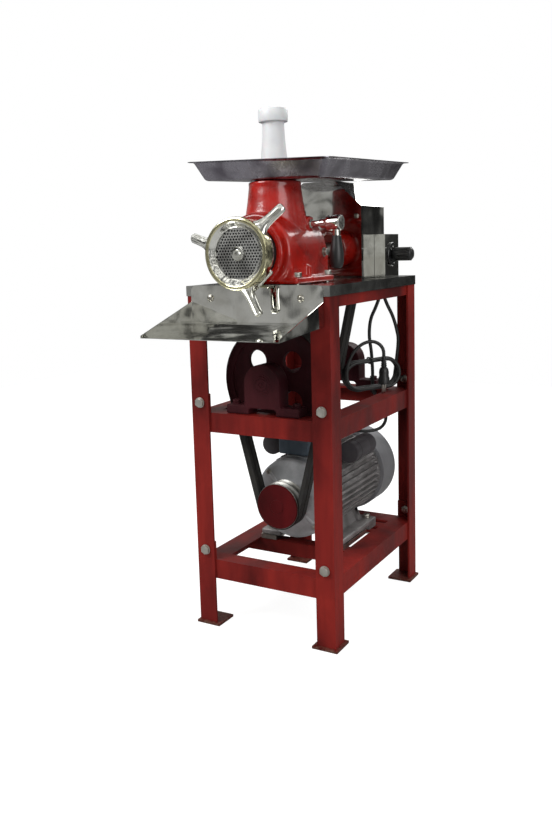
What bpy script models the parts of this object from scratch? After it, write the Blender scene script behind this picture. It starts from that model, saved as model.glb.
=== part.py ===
"""Belt-driven meat grinder on an angle-iron stand.

Metres, +Z up, -Y is the front with the grinding plate, +X is the operator's right.
While it is built the stand's centre line is at x = 0, y = 0. The last step moves everything so that
the origin is under the middle of the whole machine, on the floor.
"""

import math

import bmesh
import bpy
from mathutils import Euler, Vector

# ---------------------------------------------------------------- fits
GAP = 0.0003  # between pieces that touch
HOLE_PLAY = 0.0006  # radial play of a bolt in its hole
EXTRA = 0.004  # how far a cutter runs past the face that it cuts
BITE = 0.001  # how far welded shapes reach into each other

# ---------------------------------------------------------------- stand
TOP_PULLEY_R = 0.086
STAND_X = 2 * (TOP_PULLEY_R + 0.070)  # over the legs
STAND_Y = 0.434
DECK_Z = 0.700  # top of the deck
ANGLE = 0.040  # angle iron, leg of the section
ANGLE_T = 0.004
FOOT = 0.054
FOOT_T = 0.005
FOOT_PROUD = 0.005
SHELF_Z = 0.447  # top of the middle frame
BED_Z = 0.140  # top of the bottom frame
BED_SIDE_FLANGE = 0.050
TAB_W = 0.036  # corner tabs that the leg bolts go through
TAB_H = 0.038
BOLT_INSET = 0.020  # leg bolt, from the leg's outer edge and above the rail
SHEET_T = 0.0012  # stainless sheet of the deck and the tray
SKIRT = 0.020

LEG_X = STAND_X / 2
LEG_Y = STAND_Y / 2
RAIL_X = LEG_X - ANGLE_T - GAP
RAIL_Y = LEG_Y - ANGLE_T - GAP
DECK_UNDER = DECK_Z - SHEET_T
TOP_FRAME_Z = DECK_UNDER - GAP
BOLT_X = LEG_X - BOLT_INSET
DECK_X = LEG_X + GAP + SHEET_T
DECK_Y = LEG_Y + GAP + SHEET_T

# M10 leg bolts
M10_R = 0.0048
M10_FLATS = 0.017
M10_HEAD = 0.0064
M10_NUT = 0.008
M10_WASHER_R = 0.0105
M10_WASHER_T = 0.0018

# motor bed, welded into the bottom frame
BED_ANGLE = 0.030
BED_ANGLE_T = 0.004
SLOT_X = 0.034
SLOT_Y = 0.017

# ---------------------------------------------------------------- where the belts run
BLOCK_Y = LEG_Y - 0.031  # middle of the bearing blocks
LOWER_Y = 0.051 - BLOCK_Y  # middle of the lower belts
UPPER_Y = LEG_Y - 0.128  # middle of the upper belts

# ---------------------------------------------------------------- discharge tray
TRAY_X = LEG_X - 0.011
TRAY_TOP = DECK_Z + 0.001
TRAY_FLOOR_BACK = DECK_Z - 0.074
TRAY_FLOOR_FRONT = DECK_Z - 0.085
TRAY_SIDE_BACK = DECK_Z - 0.030
TRAY_DEPTH = 0.165
TRAY_CORNER = 0.012
TRAY_LIP = 0.0035  # height of the side walls at the front edge
TRAY_SCREW_X = 0.099
TRAY_SCREW_Z = DECK_Z - 0.0235
TRAY_SCREW_R = 0.0024
TRAY_HEAD_R = 0.007
TRAY_BACK_Y = DECK_Y + GAP  # inner face of the back panel, as a distance to the front
TRAY_FRONT_Y = TRAY_BACK_Y + SHEET_T

# ---------------------------------------------------------------- grinder
BARREL_R = 0.050
HEAD_Z = DECK_Z + BARREL_R + 0.011  # axis of auger, ring nut and top pulley
CASE_R = BARREL_R + 0.025
CASE_FRONT = LEG_Y - 0.005  # distances to the front of the stand's centre
CASE_BACK = 0.052
RIM_R = BARREL_R + 0.007
RIM_FRONT = CASE_FRONT + 0.008
CHAMBER_R = BARREL_R - 0.0075
CHAMBER_BACK = 0.062
BASE_X = CASE_R + 0.011
BASE_FRONT = CASE_FRONT - 0.005
BASE_BACK = 0.048
BASE_T = 0.014
BASE_BOLT_X = CASE_R
BASE_BOLT_FRONT = CASE_FRONT - 0.025
BASE_BOLT_BACK = 0.061
BASE_BOLT_R = 0.005
NECK_R = 0.038
NECK_END = UPPER_Y - 0.069  # behind the stand's centre
THROAT_FRONT = CASE_FRONT - 0.083  # the throat's axis
THROAT_BORE = 0.043
THROAT_TOP_R = 0.0505
THROAT_ROOT_R = 0.0636
THROAT_ROOT_Z = HEAD_Z + 0.039
BARREL_BACK = CASE_FRONT - 0.044
BARREL_STEP = CASE_FRONT + 0.0465
BARREL_NOSE_R = BARREL_R + 0.0075
PLATE_R = BARREL_R
PLATE_T = 0.010
PLATE_FACE = CASE_FRONT + 0.060
PLATE_HOLE_R = 0.0030
PLATE_RINGS = ((0.0255, 12), (0.0370, 18))
SPIGOT_R = 0.0095
SPIGOT_END = PLATE_FACE + 0.004
RING_R = BARREL_R + 0.0165
RING_FRONT = PLATE_FACE + 0.012
RING_BACK = PLATE_FACE - 0.014
RING_LIP_R = BARREL_R - 0.001
RING_FACE_R = RING_R - 0.0065
ARM_TIP = RING_R + 0.0515
ARM_ROOT = RING_R - 0.0055
ARM_SWEEP = 0.020
ARM_ROOT_R = 0.0078
ARM_TIP_R = 0.0052
ARM_ANGLES = (44, 164, 284)  # degrees from +X towards +Z
KNIFE_R = PLATE_R - 0.009
KNIFE_T = 0.0125
KNIFE_BLADE = 0.012
KNIFE_HUB_R = 0.018
AUGER_R = CHAMBER_R - 0.0025
AUGER_CORE_R = 0.016
AUGER_PITCH = 0.045
AUGER_FLIGHT = 0.006
AUGER_FREE = 0.0243  # length of the core that carries no flight
SHAFT_R = 0.017
SHAFT_END = UPPER_Y + 0.024
LOCK_RING_R = BARREL_R + 0.0065
LOCK_RING_FRONT = PLATE_FACE - 0.020
LOCK_RING_BACK = PLATE_FACE - 0.034
LOCK_LEVER_R = 0.0055
LOCK_LEVER_LENGTH = 0.052
LOCK_LEVER_ANGLE = 311  # where the lever touches the ring, degrees from +X
CLAMP_FRONT = THROAT_FRONT - 0.024
CLAMP_Z = HEAD_Z + CASE_R - 0.022
CLAMP_BOSS_R = 0.014
CLAMP_BOSS_X = CASE_R - 0.011
CLAMP_PIN_R = 0.0053
CLAMP_HUB_X = CLAMP_BOSS_X + 0.034
CLAMP_HUB_R = 0.015
CLAMP_END_X = CLAMP_BOSS_X + 0.067
HANDLE_X = CLAMP_BOSS_X + 0.055
HANDLE_TOP = CLAMP_Z - 0.024
HANDLE_END = CLAMP_Z - 0.087
HANDLE_R = 0.0135

# ---------------------------------------------------------------- feed pan and pusher
GUARD_SHOULDER = HEAD_Z + TOP_PULLEY_R + 0.005
GUARD_TOP = HEAD_Z + TOP_PULLEY_R + 0.059
PAN_Z = GUARD_TOP + 0.036  # rim plane at the pan's centre
THROAT_TOP = PAN_Z - 0.0448
PAN_Y = 0.123 - THROAT_FRONT
PAN_SLOPE_X = -0.04
PAN_SLOPE_Y = 0.04
PAN_RIM = (0.1574, 0.2046)
PAN_MOUTH = (0.1454, 0.1926)
PAN_FLOOR = (0.1282, 0.1763)
PAN_DEPTH = 0.0355
PAN_CORNER = 0.040
PAN_COLLAR_R = THROAT_BORE - 0.0034  # inside
PAN_COLLAR = 0.020
PUSHER_TOP = PAN_Z + 0.092
PUSHER_CAP_R = 0.0284
PUSHER_CAP = 0.025
PUSHER_NECK_R = 0.021
PUSHER_PAN_R = 0.0255
PUSHER_FOOT_R = 0.035

# ---------------------------------------------------------------- belts and pulleys
COUNTER_Z = SHELF_Z + 0.061
MOTOR_Z = BED_Z + 0.1105
MOTOR_PULLEY_R = 0.047
BIG_PULLEY_R = 0.112
SMALL_PULLEY_R = 0.030
PULLEY_W = 0.038
BELT_PITCH = 0.0185
BELT_TOP = 0.0160
BELT_BASE = 0.0095
BELT_H = 0.0105
BELT_PROUD = 0.0022
GROOVE_PLAY = 0.0004
GROOVE_DEPTH = 0.0100
PULLEY_WEB = 0.012
WEB_HOLE_R = 0.021
WEB_HOLE_AT = 0.056
COUNTER_R = 0.0125
COUNTER_HALF = BLOCK_Y + 0.021

BLOCK_DEPTH = 0.038
BLOCK_BASE = 0.082
BLOCK_FOOT = 0.018
BLOCK_R = 0.0400
BLOCK_ARCH = 0.031
BLOCK_ARCH_H = 0.015
BLOCK_BOLT_X = 0.068
BLOCK_BOLT_R = 0.005

# ---------------------------------------------------------------- motor
FRAME_FRONT = LOWER_Y + 0.075
FRAME_BACK = FRAME_FRONT + 0.235
FRAME_R = 0.090
FIN_H = 0.009
FINS = 24
STATOR_R = 0.0565
ROTOR_R = 0.0555
MOTOR_SHAFT_R = 0.014
SHIELD_R = 0.085
SHIELD_FRONT = LOWER_Y + 0.040
SHIELD_HUB = LOWER_Y + 0.027
COWL_R = 0.095
COWL_BACK = FRAME_BACK + 0.080
COWL_T = 0.0015
FOOT_REACH = 0.097
MOTOR_FOOT_T = 0.012
PACKING = 0.010
MOTOR_BOLT_X = 0.080
MOTOR_BOLT_FRONT = FRAME_FRONT + 0.021
MOTOR_BOLT_BACK = FRAME_FRONT + 0.170
BOX_X = 0.036
BOX_FRONT = FRAME_FRONT - 0.020
BOX_BACK = FRAME_FRONT + 0.080
BOX_H = 0.044
CAPACITOR_R = 0.023
CAPACITOR_X = 0.093
CAPACITOR_Z = MOTOR_Z + 0.0895
CAPACITOR_Y = (FRAME_FRONT + 0.048, FRAME_FRONT + 0.148)  
BED_FRONT_Y = FRAME_FRONT + 0.004  # cross angle of the motor bed
BED_PLATE_Y = FRAME_FRONT + 0.145  # front edge of its rear plate

# ---------------------------------------------------------------- belt guard and switch
GUARD_X = TOP_PULLEY_R + 0.011
GUARD_Y = (UPPER_Y - 0.027, LEG_Y - 0.031)
GUARD_TOP_X = 0.038
GUARD_T = 0.0015
SWITCH_X = (GUARD_X + 0.0005, GUARD_X + 0.025)
SWITCH_Y = (LEG_Y - 0.087, LEG_Y - 0.009)
SWITCH_TOP = DECK_Z + 0.092
KNOB_Y = LEG_Y - 0.049
KNOB_Z = DECK_Z + 0.0485
KNOB_PLATE_R = 0.026
KNOB_R = 0.015
KNOB_END = SWITCH_X[1] + 0.050
GLAND_R = 0.0065
GLAND_X = GUARD_X + 0.0075
MAINS_GLAND_Y = LEG_Y - 0.055
LEAD_GLAND_Y = LEG_Y - 0.075
GLAND_END = DECK_Z - 0.016  # ---------------------------------------------------------------- cords
CORD_R = 0.00375
HANK_CENTRE = (LEG_X - 0.072, LEG_Y - 0.081)
HANK_TURN = 47  # degrees of the hank's long way from +X
HANK_LENGTH = 0.132
HANK_HEIGHT = 0.064
HANK_T = 0.034
PLUG_AT = (LEG_X - 0.038, LEG_Y - 0.090)
PLUG_R = 0.0125
PLUG_PIN = 0.019
PLUG_BODY = 0.036
PLUG_RELIEF = 0.024

STEEL = ((0.62, 0.62, 0.61), 0.28, 1.0)
MIRROR_STEEL = ((0.72, 0.72, 0.71), 0.12, 1.0)
CHROME = ((0.80, 0.80, 0.80), 0.10, 1.0)
OXIDE_RED = ((0.20, 0.022, 0.022), 0.48, 0.0)
MAROON = ((0.075, 0.016, 0.020), 0.52, 0.0)
ENAMEL_RED = ((0.60, 0.022, 0.012), 0.22, 0.0)
ALUMINIUM = ((0.42, 0.43, 0.44), 0.42, 0.7)
GREY_PAINT = ((0.20, 0.22, 0.25), 0.50, 0.0)
BLACK_PLASTIC = ((0.012, 0.012, 0.013), 0.38, 0.0)
WHITE_PLASTIC = ((0.82, 0.82, 0.80), 0.42, 0.0)
RUBBER = ((0.012, 0.012, 0.012), 0.62, 0.0)
CAST_IRON = ((0.08, 0.08, 0.08), 0.50, 0.8)

AXIS_TURN = {
    "+X": (0.0, math.pi / 2, 0.0),
    "+Y": (-math.pi / 2, 0.0, 0.0),
    "-Y": (math.pi / 2, 0.0, 0.0),
    "+Z": (0.0, 0.0, 0.0),
    "-Z": (math.pi, 0.0, 0.0),
}
UPRIGHT = (math.pi / 2, 0.0, 0.0)  # an outline's x and y become world x and z
SIDEWAYS = (math.pi / 2, 0.0, math.pi / 2)  # an outline's x and y become world y and z
SMOOTH_ANGLE = math.radians(35)
MERGE = 0.00001


# ---------------------------------------------------------------- scene and materials
def clear_scene():
    """Remove what a new file holds."""
    for obj in list(bpy.data.objects):
        bpy.data.objects.remove(obj, do_unlink=True)


def new_collection(name):
    """Make a collection in the scene."""
    made = bpy.data.collections.new(name)
    bpy.context.scene.collection.children.link(made)
    return made


clear_scene()
PARTS = new_collection("meat_grinder")
CUTTERS = new_collection("cutters")


def paint(obj, finish):
    """Give a piece a material of its own."""
    color, roughness, metallic = finish
    material = bpy.data.materials.new(obj.name)
    material.use_nodes = True
    shader = material.node_tree.nodes["Principled BSDF"]
    shader.inputs["Base Color"].default_value = (*color, 1.0)
    shader.inputs["Roughness"].default_value = roughness
    shader.inputs["Metallic"].default_value = metallic
    obj.data.materials.clear()
    obj.data.materials.append(material)
    return obj


# ---------------------------------------------------------------- shapes
def place(name, mesh, location=(0, 0, 0), rotation=(0, 0, 0)):
    """Put a mesh in the scene as a named piece."""
    obj = bpy.data.objects.new(name, mesh)
    obj.location = location
    obj.rotation_euler = rotation
    PARTS.objects.link(obj)
    return obj


def smooth(mesh):
    """Shade round sides smooth and leave edges sharp."""
    mesh.shade_smooth()
    mesh.set_sharp_from_angle(angle=SMOOTH_ANGLE)


def box(name, x, y, z, rotation=(0, 0, 0)):
    """A block between two limits on each axis, with its origin at its centre."""
    sizes = [side[1] - side[0] for side in (x, y, z)]
    centre = [(side[0] + side[1]) / 2 for side in (x, y, z)]
    mesh = bpy.data.meshes.new(name)
    shape = bmesh.new()
    bmesh.ops.create_cube(shape, size=1.0)
    bmesh.ops.scale(shape, vec=sizes, verts=shape.verts)
    shape.to_mesh(mesh)
    shape.free()
    return place(name, mesh, centre, rotation)


def rod(name, start, axis, length, radius, sides=24, end_radius=None):
    """A cylinder, or a cone, that runs from start along an axis."""
    mesh = bpy.data.meshes.new(name)
    shape = bmesh.new()
    end = radius if end_radius is None else end_radius
    bmesh.ops.create_cone(
        shape, cap_ends=True, segments=sides, radius1=radius, radius2=end, depth=length
    )
    bmesh.ops.translate(shape, vec=(0, 0, length / 2), verts=shape.verts)
    shape.to_mesh(mesh)
    shape.free()
    if sides > 6:
        smooth(mesh)
    return place(name, mesh, start, AXIS_TURN[axis])


def rod_between(name, start, end, radius, end_radius, sides=16):
    """A tapered rod between two points."""
    way = Vector(end) - Vector(start)
    made = rod(name, start, "+Z", way.length, radius, sides, end_radius)
    made.rotation_euler = way.to_track_quat("Z", "Y").to_euler()
    return made


def turned(name, profile, location, axis, steps=48, closed=False):
    """A profile of (radius, height) turned about an axis. It runs down the outer side."""
    mesh = bpy.data.meshes.new(name)
    shape = bmesh.new()
    corners = [shape.verts.new((radius, 0, height)) for radius, height in profile]
    pairs = list(zip(corners, corners[1:]))
    if closed:
        pairs.append((corners[-1], corners[0]))
    for pair in pairs:
        shape.edges.new(pair)
    shape.to_mesh(mesh)
    shape.free()
    made = place(name, mesh, location, AXIS_TURN[axis])
    screw = made.modifiers.new("turn", "SCREW")
    screw.axis = "Z"
    screw.steps = steps
    screw.render_steps = steps
    screw.use_merge_vertices = True
    screw.merge_threshold = MERGE
    screw.use_smooth_shade = True
    return made


def welded_mesh(obj, name):
    """The mesh that an object makes, with doubled corners joined. The object is removed."""
    depsgraph = bpy.context.evaluated_depsgraph_get()
    depsgraph.update()
    mesh = bpy.data.meshes.new_from_object(obj.evaluated_get(depsgraph))
    mesh.name = name
    mesh.transform(obj.matrix_world)
    shape = bmesh.new()
    shape.from_mesh(mesh)
    bmesh.ops.remove_doubles(shape, verts=shape.verts, dist=MERGE)
    bmesh.ops.recalc_face_normals(shape, faces=shape.faces)
    shape.to_mesh(mesh)
    shape.free()
    bpy.data.objects.remove(obj, do_unlink=True)
    return mesh


def outline(name, loops, thickness, location, rotation=(0, 0, 0)):
    """Flat outlines, the first one outside and the others holes, made as thick as asked."""
    curve = bpy.data.curves.new(name, "CURVE")
    curve.dimensions = "2D"
    curve.fill_mode = "BOTH"
    curve.extrude = thickness / 2
    for loop in loops:
        spline = curve.splines.new("POLY")
        spline.points.add(len(loop) - 1)
        for point, (x, y) in zip(spline.points, loop):
            point.co = (x, y, 0, 1)
        spline.use_cyclic_u = True
    drawn = place(name + "_outline", curve)
    made = place(name, welded_mesh(drawn, name), location, rotation)
    bpy.data.curves.remove(curve)
    return made


def smooth_path(points, spacing):
    """Points at even steps along a smooth curve through the given ones."""
    ends = [2 * points[0] - points[1], *points, 2 * points[-1] - points[-2]]
    fine = []
    for before, start, end, after in zip(ends, ends[1:], ends[2:], ends[3:]):
        for step in range(20):
            t = step / 20
            fine.append(
                0.5
                * (
                    2 * start
                    + (end - before) * t
                    + (2 * before - 5 * start + 4 * end - after) * t**2
                    + (3 * start - before - 3 * end + after) * t**3
                )
            )
    fine.append(points[-1].copy())
    lengths = [0.0]
    for a, b in zip(fine, fine[1:]):
        lengths.append(lengths[-1] + (b - a).length)
    count = max(2, round(lengths[-1] / spacing))
    even = []
    index = 0
    for step in range(count + 1):
        along = lengths[-1] * step / count
        while index < len(fine) - 2 and lengths[index + 1] < along:
            index += 1
        share = (along - lengths[index]) / (lengths[index + 1] - lengths[index])
        even.append(fine[index].lerp(fine[index + 1], share))
    return even


def tube(name, points, radius, resolution=2):
    """A round tube along points."""
    curve = bpy.data.curves.new(name, "CURVE")
    curve.dimensions = "3D"
    curve.bevel_depth = radius
    curve.bevel_resolution = resolution
    curve.use_fill_caps = True
    spline = curve.splines.new("POLY")
    spline.points.add(len(points) - 1)
    for point, place_at in zip(spline.points, points):
        point.co = (*place_at, 1)
    return place(name, curve)


def combine(target, join=(), cut=()):
    """Weld shapes to a piece, then cut others out of it."""
    for operation, pieces in (("UNION", join), ("DIFFERENCE", cut)):
        if not pieces:
            continue
        group = bpy.data.collections.new(f"{target.name}_{operation.lower()}")
        CUTTERS.children.link(group)
        for piece in pieces:
            PARTS.objects.unlink(piece)
            group.objects.link(piece)
            piece.hide_render = True
            piece.display_type = "WIRE"
        modifier = target.modifiers.new(operation.lower(), "BOOLEAN")
        modifier.operation = operation
        modifier.solver = "EXACT"
        modifier.operand_type = "COLLECTION"
        modifier.collection = group
    return target


def pivot(name, location, pieces):
    """An empty on a joint's axis that carries the pieces that turn or slide with it."""
    empty = bpy.data.objects.new(name, None)
    empty.location = location
    PARTS.objects.link(empty)
    for piece in pieces:
        piece.parent = empty
        piece.location = Vector(piece.location) - Vector(location)
    return empty


def arc(centre, radius, start, end, count):
    """Points on an arc, from one angle to another in degrees."""
    turns = [math.radians(start + (end - start) * i / count) for i in range(count + 1)]
    return [
        (centre[0] + radius * math.cos(a), centre[1] + radius * math.sin(a)) for a in turns
    ]


def hexagon_r(flats):
    """Corner radius of a hexagon from its size across flats."""
    return flats / math.sqrt(3)


# ---------------------------------------------------------------- stand
def leg_bolt_holes(side_x, side_y):
    """Cutters for one leg's two bolts and for the tabs behind them."""
    reach = ANGLE_T * 2 + GAP + EXTRA * 2
    start_y = side_y * (LEG_Y + EXTRA)
    axis = "-Y" if side_y > 0 else "+Y"
    return [
        rod("bolt_hole", (side_x * BOLT_X, start_y, top + BOLT_INSET), axis, reach,
            M10_R + HOLE_PLAY, 8)
        for top in (SHELF_Z, BED_Z)
    ]  # fmt: skip


def build_leg(name, side_x, side_y):
    """One angle-iron leg on its welded foot plate."""
    section = [
        (0, 0), (-ANGLE, 0), (-ANGLE, -ANGLE_T),
        (-ANGLE_T, -ANGLE_T), (-ANGLE_T, -ANGLE), (0, -ANGLE),
    ]  # fmt: skip
    section = [(x * side_x, y * side_y) for x, y in section]
    bottom = FOOT_T - BITE
    leg = outline(
        name, [section], TOP_FRAME_Z - bottom,
        (side_x * LEG_X, side_y * LEG_Y, (TOP_FRAME_Z + bottom) / 2),
    )  # fmt: skip
    x = sorted((side_x * (LEG_X + FOOT_PROUD), side_x * (LEG_X + FOOT_PROUD - FOOT)))
    y = sorted((side_y * (LEG_Y + FOOT_PROUD), side_y * (LEG_Y + FOOT_PROUD - FOOT)))
    combine(leg, [box("foot_plate", x, y, (0, FOOT_T))], leg_bolt_holes(side_x, side_y))
    return paint(leg, OXIDE_RED)


def angle_frame(name, top, side_flange, end_flange):
    """A rectangle of angle iron, one flange flat on top and one down its outside."""
    frame = box(name, (-RAIL_X, RAIL_X), (-RAIL_Y, RAIL_Y), (top - ANGLE, top))
    under = box(
        "under",
        (-RAIL_X + ANGLE_T, RAIL_X - ANGLE_T),
        (-RAIL_Y + ANGLE_T, RAIL_Y - ANGLE_T),
        (top - ANGLE - EXTRA, top - ANGLE_T),
    )
    window = box(
        "window",
        (-RAIL_X + side_flange, RAIL_X - side_flange),
        (-RAIL_Y + end_flange, RAIL_Y - end_flange),
        (top - ANGLE_T - EXTRA, top + EXTRA),
    )
    return combine(frame, cut=[under, window])


def corner_tabs(top):
    """Tabs that stand up behind the legs' flanges and take the leg bolts."""
    tabs = []
    for side_x in (-1, 1):
        for side_y in (-1, 1):
            x = sorted((side_x * RAIL_X, side_x * (RAIL_X - TAB_W)))
            y = sorted((side_y * RAIL_Y, side_y * (RAIL_Y - ANGLE_T)))
            tabs.append(box("tab", x, y, (top - ANGLE_T - BITE, top + TAB_H)))
    return tabs


def frame_bolt_holes():
    """Cutters for the leg bolts at all four corners."""
    return [
        hole for side_x in (-1, 1) for side_y in (-1, 1)
        for hole in leg_bolt_holes(side_x, side_y)
    ]  # fmt: skip


def cross_angle(name, y, top, leg, thickness):
    """An angle across the stand between the side rails, its hanging flange in front."""
    reach = RAIL_X - ANGLE_T + BITE
    flat = box(name, (-reach, reach), (y, y + leg), (top - thickness, top))
    drop = box(name + "_drop", (-reach, reach), (y, y + thickness), (top - leg, top - BITE))
    return [flat, drop]


def base_bolt_places():
    """The four bolts that hold the grinder on the deck and the top frame."""
    return [
        (side * BASE_BOLT_X, -front)
        for side in (-1, 1) for front in (BASE_BOLT_FRONT, BASE_BOLT_BACK)
    ]  # fmt: skip


def build_top_frame():
    """The frame under the deck."""
    frame = angle_frame("top_frame", TOP_FRAME_Z, ANGLE, ANGLE)
    bolts = [
        rod("base_hole", (x, y, TOP_FRAME_Z - ANGLE_T - EXTRA), "+Z", ANGLE_T + 2 * EXTRA,
            BASE_BOLT_R + HOLE_PLAY, 8)
        for x, y in base_bolt_places()
    ]  # fmt: skip
    screws = [
        rod("tray_hole", (side * TRAY_SCREW_X, -RAIL_Y - EXTRA, TRAY_SCREW_Z), "+Y",
            ANGLE_T + 2 * EXTRA, TRAY_SCREW_R + HOLE_PLAY, 8)
        for side in (-1, 1)
    ]  # fmt: skip
    cross = cross_angle("top_cross", -BASE_BOLT_BACK - ANGLE / 2, TOP_FRAME_Z, ANGLE, ANGLE_T)
    return paint(combine(frame, cross, bolts + screws), OXIDE_RED)


def block_bolt_places():
    """The four bolts of the two bearing blocks."""
    return [(side * BLOCK_BOLT_X, end * BLOCK_Y) for side in (-1, 1) for end in (-1, 1)]


def build_shelf_frame():
    """The middle frame, which carries the countershaft's bearing blocks."""
    frame = angle_frame("shelf_frame", SHELF_Z, ANGLE, ANGLE)
    holes = [
        rod("block_hole", (x, y, SHELF_Z - ANGLE_T - EXTRA), "+Z", ANGLE_T + 2 * EXTRA,
            BLOCK_BOLT_R + HOLE_PLAY, 8)
        for x, y in block_bolt_places()
    ]  # fmt: skip
    return paint(combine(frame, corner_tabs(SHELF_Z), holes + frame_bolt_holes()), OXIDE_RED)


def motor_bolt_places():
    """The four bolts of the motor's feet."""
    return [
        (side * MOTOR_BOLT_X, y) for side in (-1, 1) for y in (MOTOR_BOLT_FRONT, MOTOR_BOLT_BACK)
    ]


def build_bottom_frame():
    """The bottom frame with the motor's front cross angle and slotted rear plate."""
    frame = angle_frame("bottom_frame", BED_Z, BED_SIDE_FLANGE, ANGLE)
    cross = cross_angle("bed_cross", BED_FRONT_Y, BED_Z, BED_ANGLE, BED_ANGLE_T)
    reach = RAIL_X - ANGLE_T + BITE
    plate = box(
        "bed_plate", (-reach, reach), (BED_PLATE_Y, RAIL_Y - ANGLE + BITE),
        (BED_Z - ANGLE_T, BED_Z),
    )  # fmt: skip
    slots = []
    for side in (-1, 1):
        for x, y in ((0.088, MOTOR_BOLT_BACK), (0.092, MOTOR_BOLT_BACK + 0.047)):
            slots.append(
                box("slot", (side * x - SLOT_X / 2, side * x + SLOT_X / 2),
                    (y - SLOT_Y / 2, y + SLOT_Y / 2), (BED_Z - ANGLE_T - EXTRA, BED_Z + EXTRA))
            )  # fmt: skip
        slots.append(
            rod("bed_hole", (side * MOTOR_BOLT_X, MOTOR_BOLT_FRONT, BED_Z - BED_ANGLE_T - EXTRA),
                "+Z", BED_ANGLE_T + 2 * EXTRA, BASE_BOLT_R + HOLE_PLAY, 8)
        )  # fmt: skip
    combine(frame, corner_tabs(BED_Z) + cross + [plate], slots + frame_bolt_holes())
    return paint(frame, OXIDE_RED)


def bolt_mesh(grip):
    """A hexagon bolt with washer and nut. Its head bears on z = 0 and it points up."""
    nut_at = grip
    bolt = rod("bolt", (0, 0, -M10_HEAD), "+Z", M10_HEAD + BITE - M10_WASHER_T,
               hexagon_r(M10_FLATS), 6)  # fmt: skip
    washer = rod("washer", (0, 0, -M10_WASHER_T), "+Z", M10_WASHER_T, M10_WASHER_R, 12)
    shank = rod("shank", (0, 0, -BITE), "+Z", nut_at + M10_NUT + BITE * 4, M10_R, 8)
    nut = rod("nut", (0, 0, nut_at), "+Z", M10_NUT, hexagon_r(M10_FLATS), 6)
    combine(bolt, [washer, shank, nut])
    mesh = welded_mesh(bolt, "m10_bolt")
    for piece in (washer, shank, nut):
        bpy.data.objects.remove(piece, do_unlink=True)
    return mesh


def build_leg_bolts():
    """Eight bolts, two through each leg into the frames' corner tabs."""
    mesh = bolt_mesh(2 * ANGLE_T + 3 * GAP)
    made = []
    for row, side_y in (("front", -1), ("rear", 1)):
        for hand, side_x in (("left", -1), ("right", 1)):
            for level, top in (("shelf", SHELF_Z), ("bed", BED_Z)):
                axis = "+Y" if side_y < 0 else "-Y"
                at = (side_x * BOLT_X, side_y * (LEG_Y + GAP), top + BOLT_INSET)
                name = f"leg_bolt_{row}_{hand}_{level}"
                bolt = place(name, mesh.copy(), at, AXIS_TURN[axis])
                made.append(paint(bolt, STEEL))
    bpy.data.meshes.remove(mesh)
    return made


def build_deck():
    """The stainless deck: a flat sheet with its edges folded down."""
    deck = box("deck_sheet", (-DECK_X, DECK_X), (-DECK_Y, DECK_Y), (DECK_Z - SKIRT, DECK_Z))
    inside = box(
        "inside", (-DECK_X + SHEET_T, DECK_X - SHEET_T), (-DECK_Y + SHEET_T, DECK_Y - SHEET_T),
        (DECK_Z - SKIRT - EXTRA, DECK_UNDER),
    )  # fmt: skip
    slot_x = TOP_PULLEY_R + BELT_PROUD + GROOVE_PLAY
    slot_y = PULLEY_W / 2 + 0.004
    slot = box(
        "belt_slot", (-slot_x, slot_x), (UPPER_Y - slot_y, UPPER_Y + slot_y),
        (DECK_UNDER - EXTRA, DECK_Z + EXTRA),
    )  # fmt: skip
    holes = [
        rod("base_hole", (x, y, DECK_UNDER - EXTRA), "+Z", SHEET_T + 2 * EXTRA,
            BASE_BOLT_R + HOLE_PLAY, 8)
        for x, y in base_bolt_places()
    ]  # fmt: skip
    holes += [
        rod("gland_hole", (GLAND_X, y, DECK_UNDER - EXTRA), "+Z", SHEET_T + 2 * EXTRA,
            GLAND_R + GAP, 16)
        for y in (MAINS_GLAND_Y, LEAD_GLAND_Y)
    ]  # fmt: skip
    return paint(combine(deck, cut=[inside, slot, *holes]), MIRROR_STEEL)


# ---------------------------------------------------------------- discharge tray
def build_tray():
    """The folded tray under the ring nut, hung by its back panel on the deck's edge."""
    middle_y = -(TRAY_BACK_Y + TRAY_FRONT_Y) / 2
    low = TRAY_FLOOR_BACK - SHEET_T
    back_loop = [(-TRAY_X, low), (TRAY_X, low)]
    back_loop += arc((TRAY_X - TRAY_CORNER, TRAY_TOP - TRAY_CORNER), TRAY_CORNER, 0, 90, 6)
    back_loop += arc((-TRAY_X + TRAY_CORNER, TRAY_TOP - TRAY_CORNER), TRAY_CORNER, 90, 180, 6)
    tray = outline("discharge_tray", [back_loop], SHEET_T, (0, middle_y, 0), UPRIGHT)
    back = -TRAY_BACK_Y
    front = -TRAY_FRONT_Y - TRAY_DEPTH
    floor_loop = [
        (back, TRAY_FLOOR_BACK), (back, low),
        (front, TRAY_FLOOR_FRONT - SHEET_T), (front, TRAY_FLOOR_FRONT),
    ]  # fmt: skip
    floor = outline("floor", [floor_loop], 2 * TRAY_X, (0, 0, 0), SIDEWAYS)
    side_loop = [
        (back, low), (back, TRAY_SIDE_BACK),
        (front, TRAY_FLOOR_FRONT + TRAY_LIP), (front, TRAY_FLOOR_FRONT - SHEET_T),
    ]  # fmt: skip
    walls = [
        outline("wall", [side_loop], SHEET_T, (side * (TRAY_X - SHEET_T / 2), 0, 0), SIDEWAYS)
        for side in (-1, 1)
    ]
    holes = [
        rod("screw_hole", (side * TRAY_SCREW_X, -TRAY_FRONT_Y - EXTRA, TRAY_SCREW_Z), "+Y",
            SHEET_T + 2 * EXTRA, TRAY_SCREW_R + HOLE_PLAY, 12)
        for side in (-1, 1)
    ]  # fmt: skip
    return paint(combine(tray, [floor, *walls], holes), MIRROR_STEEL)


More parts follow.
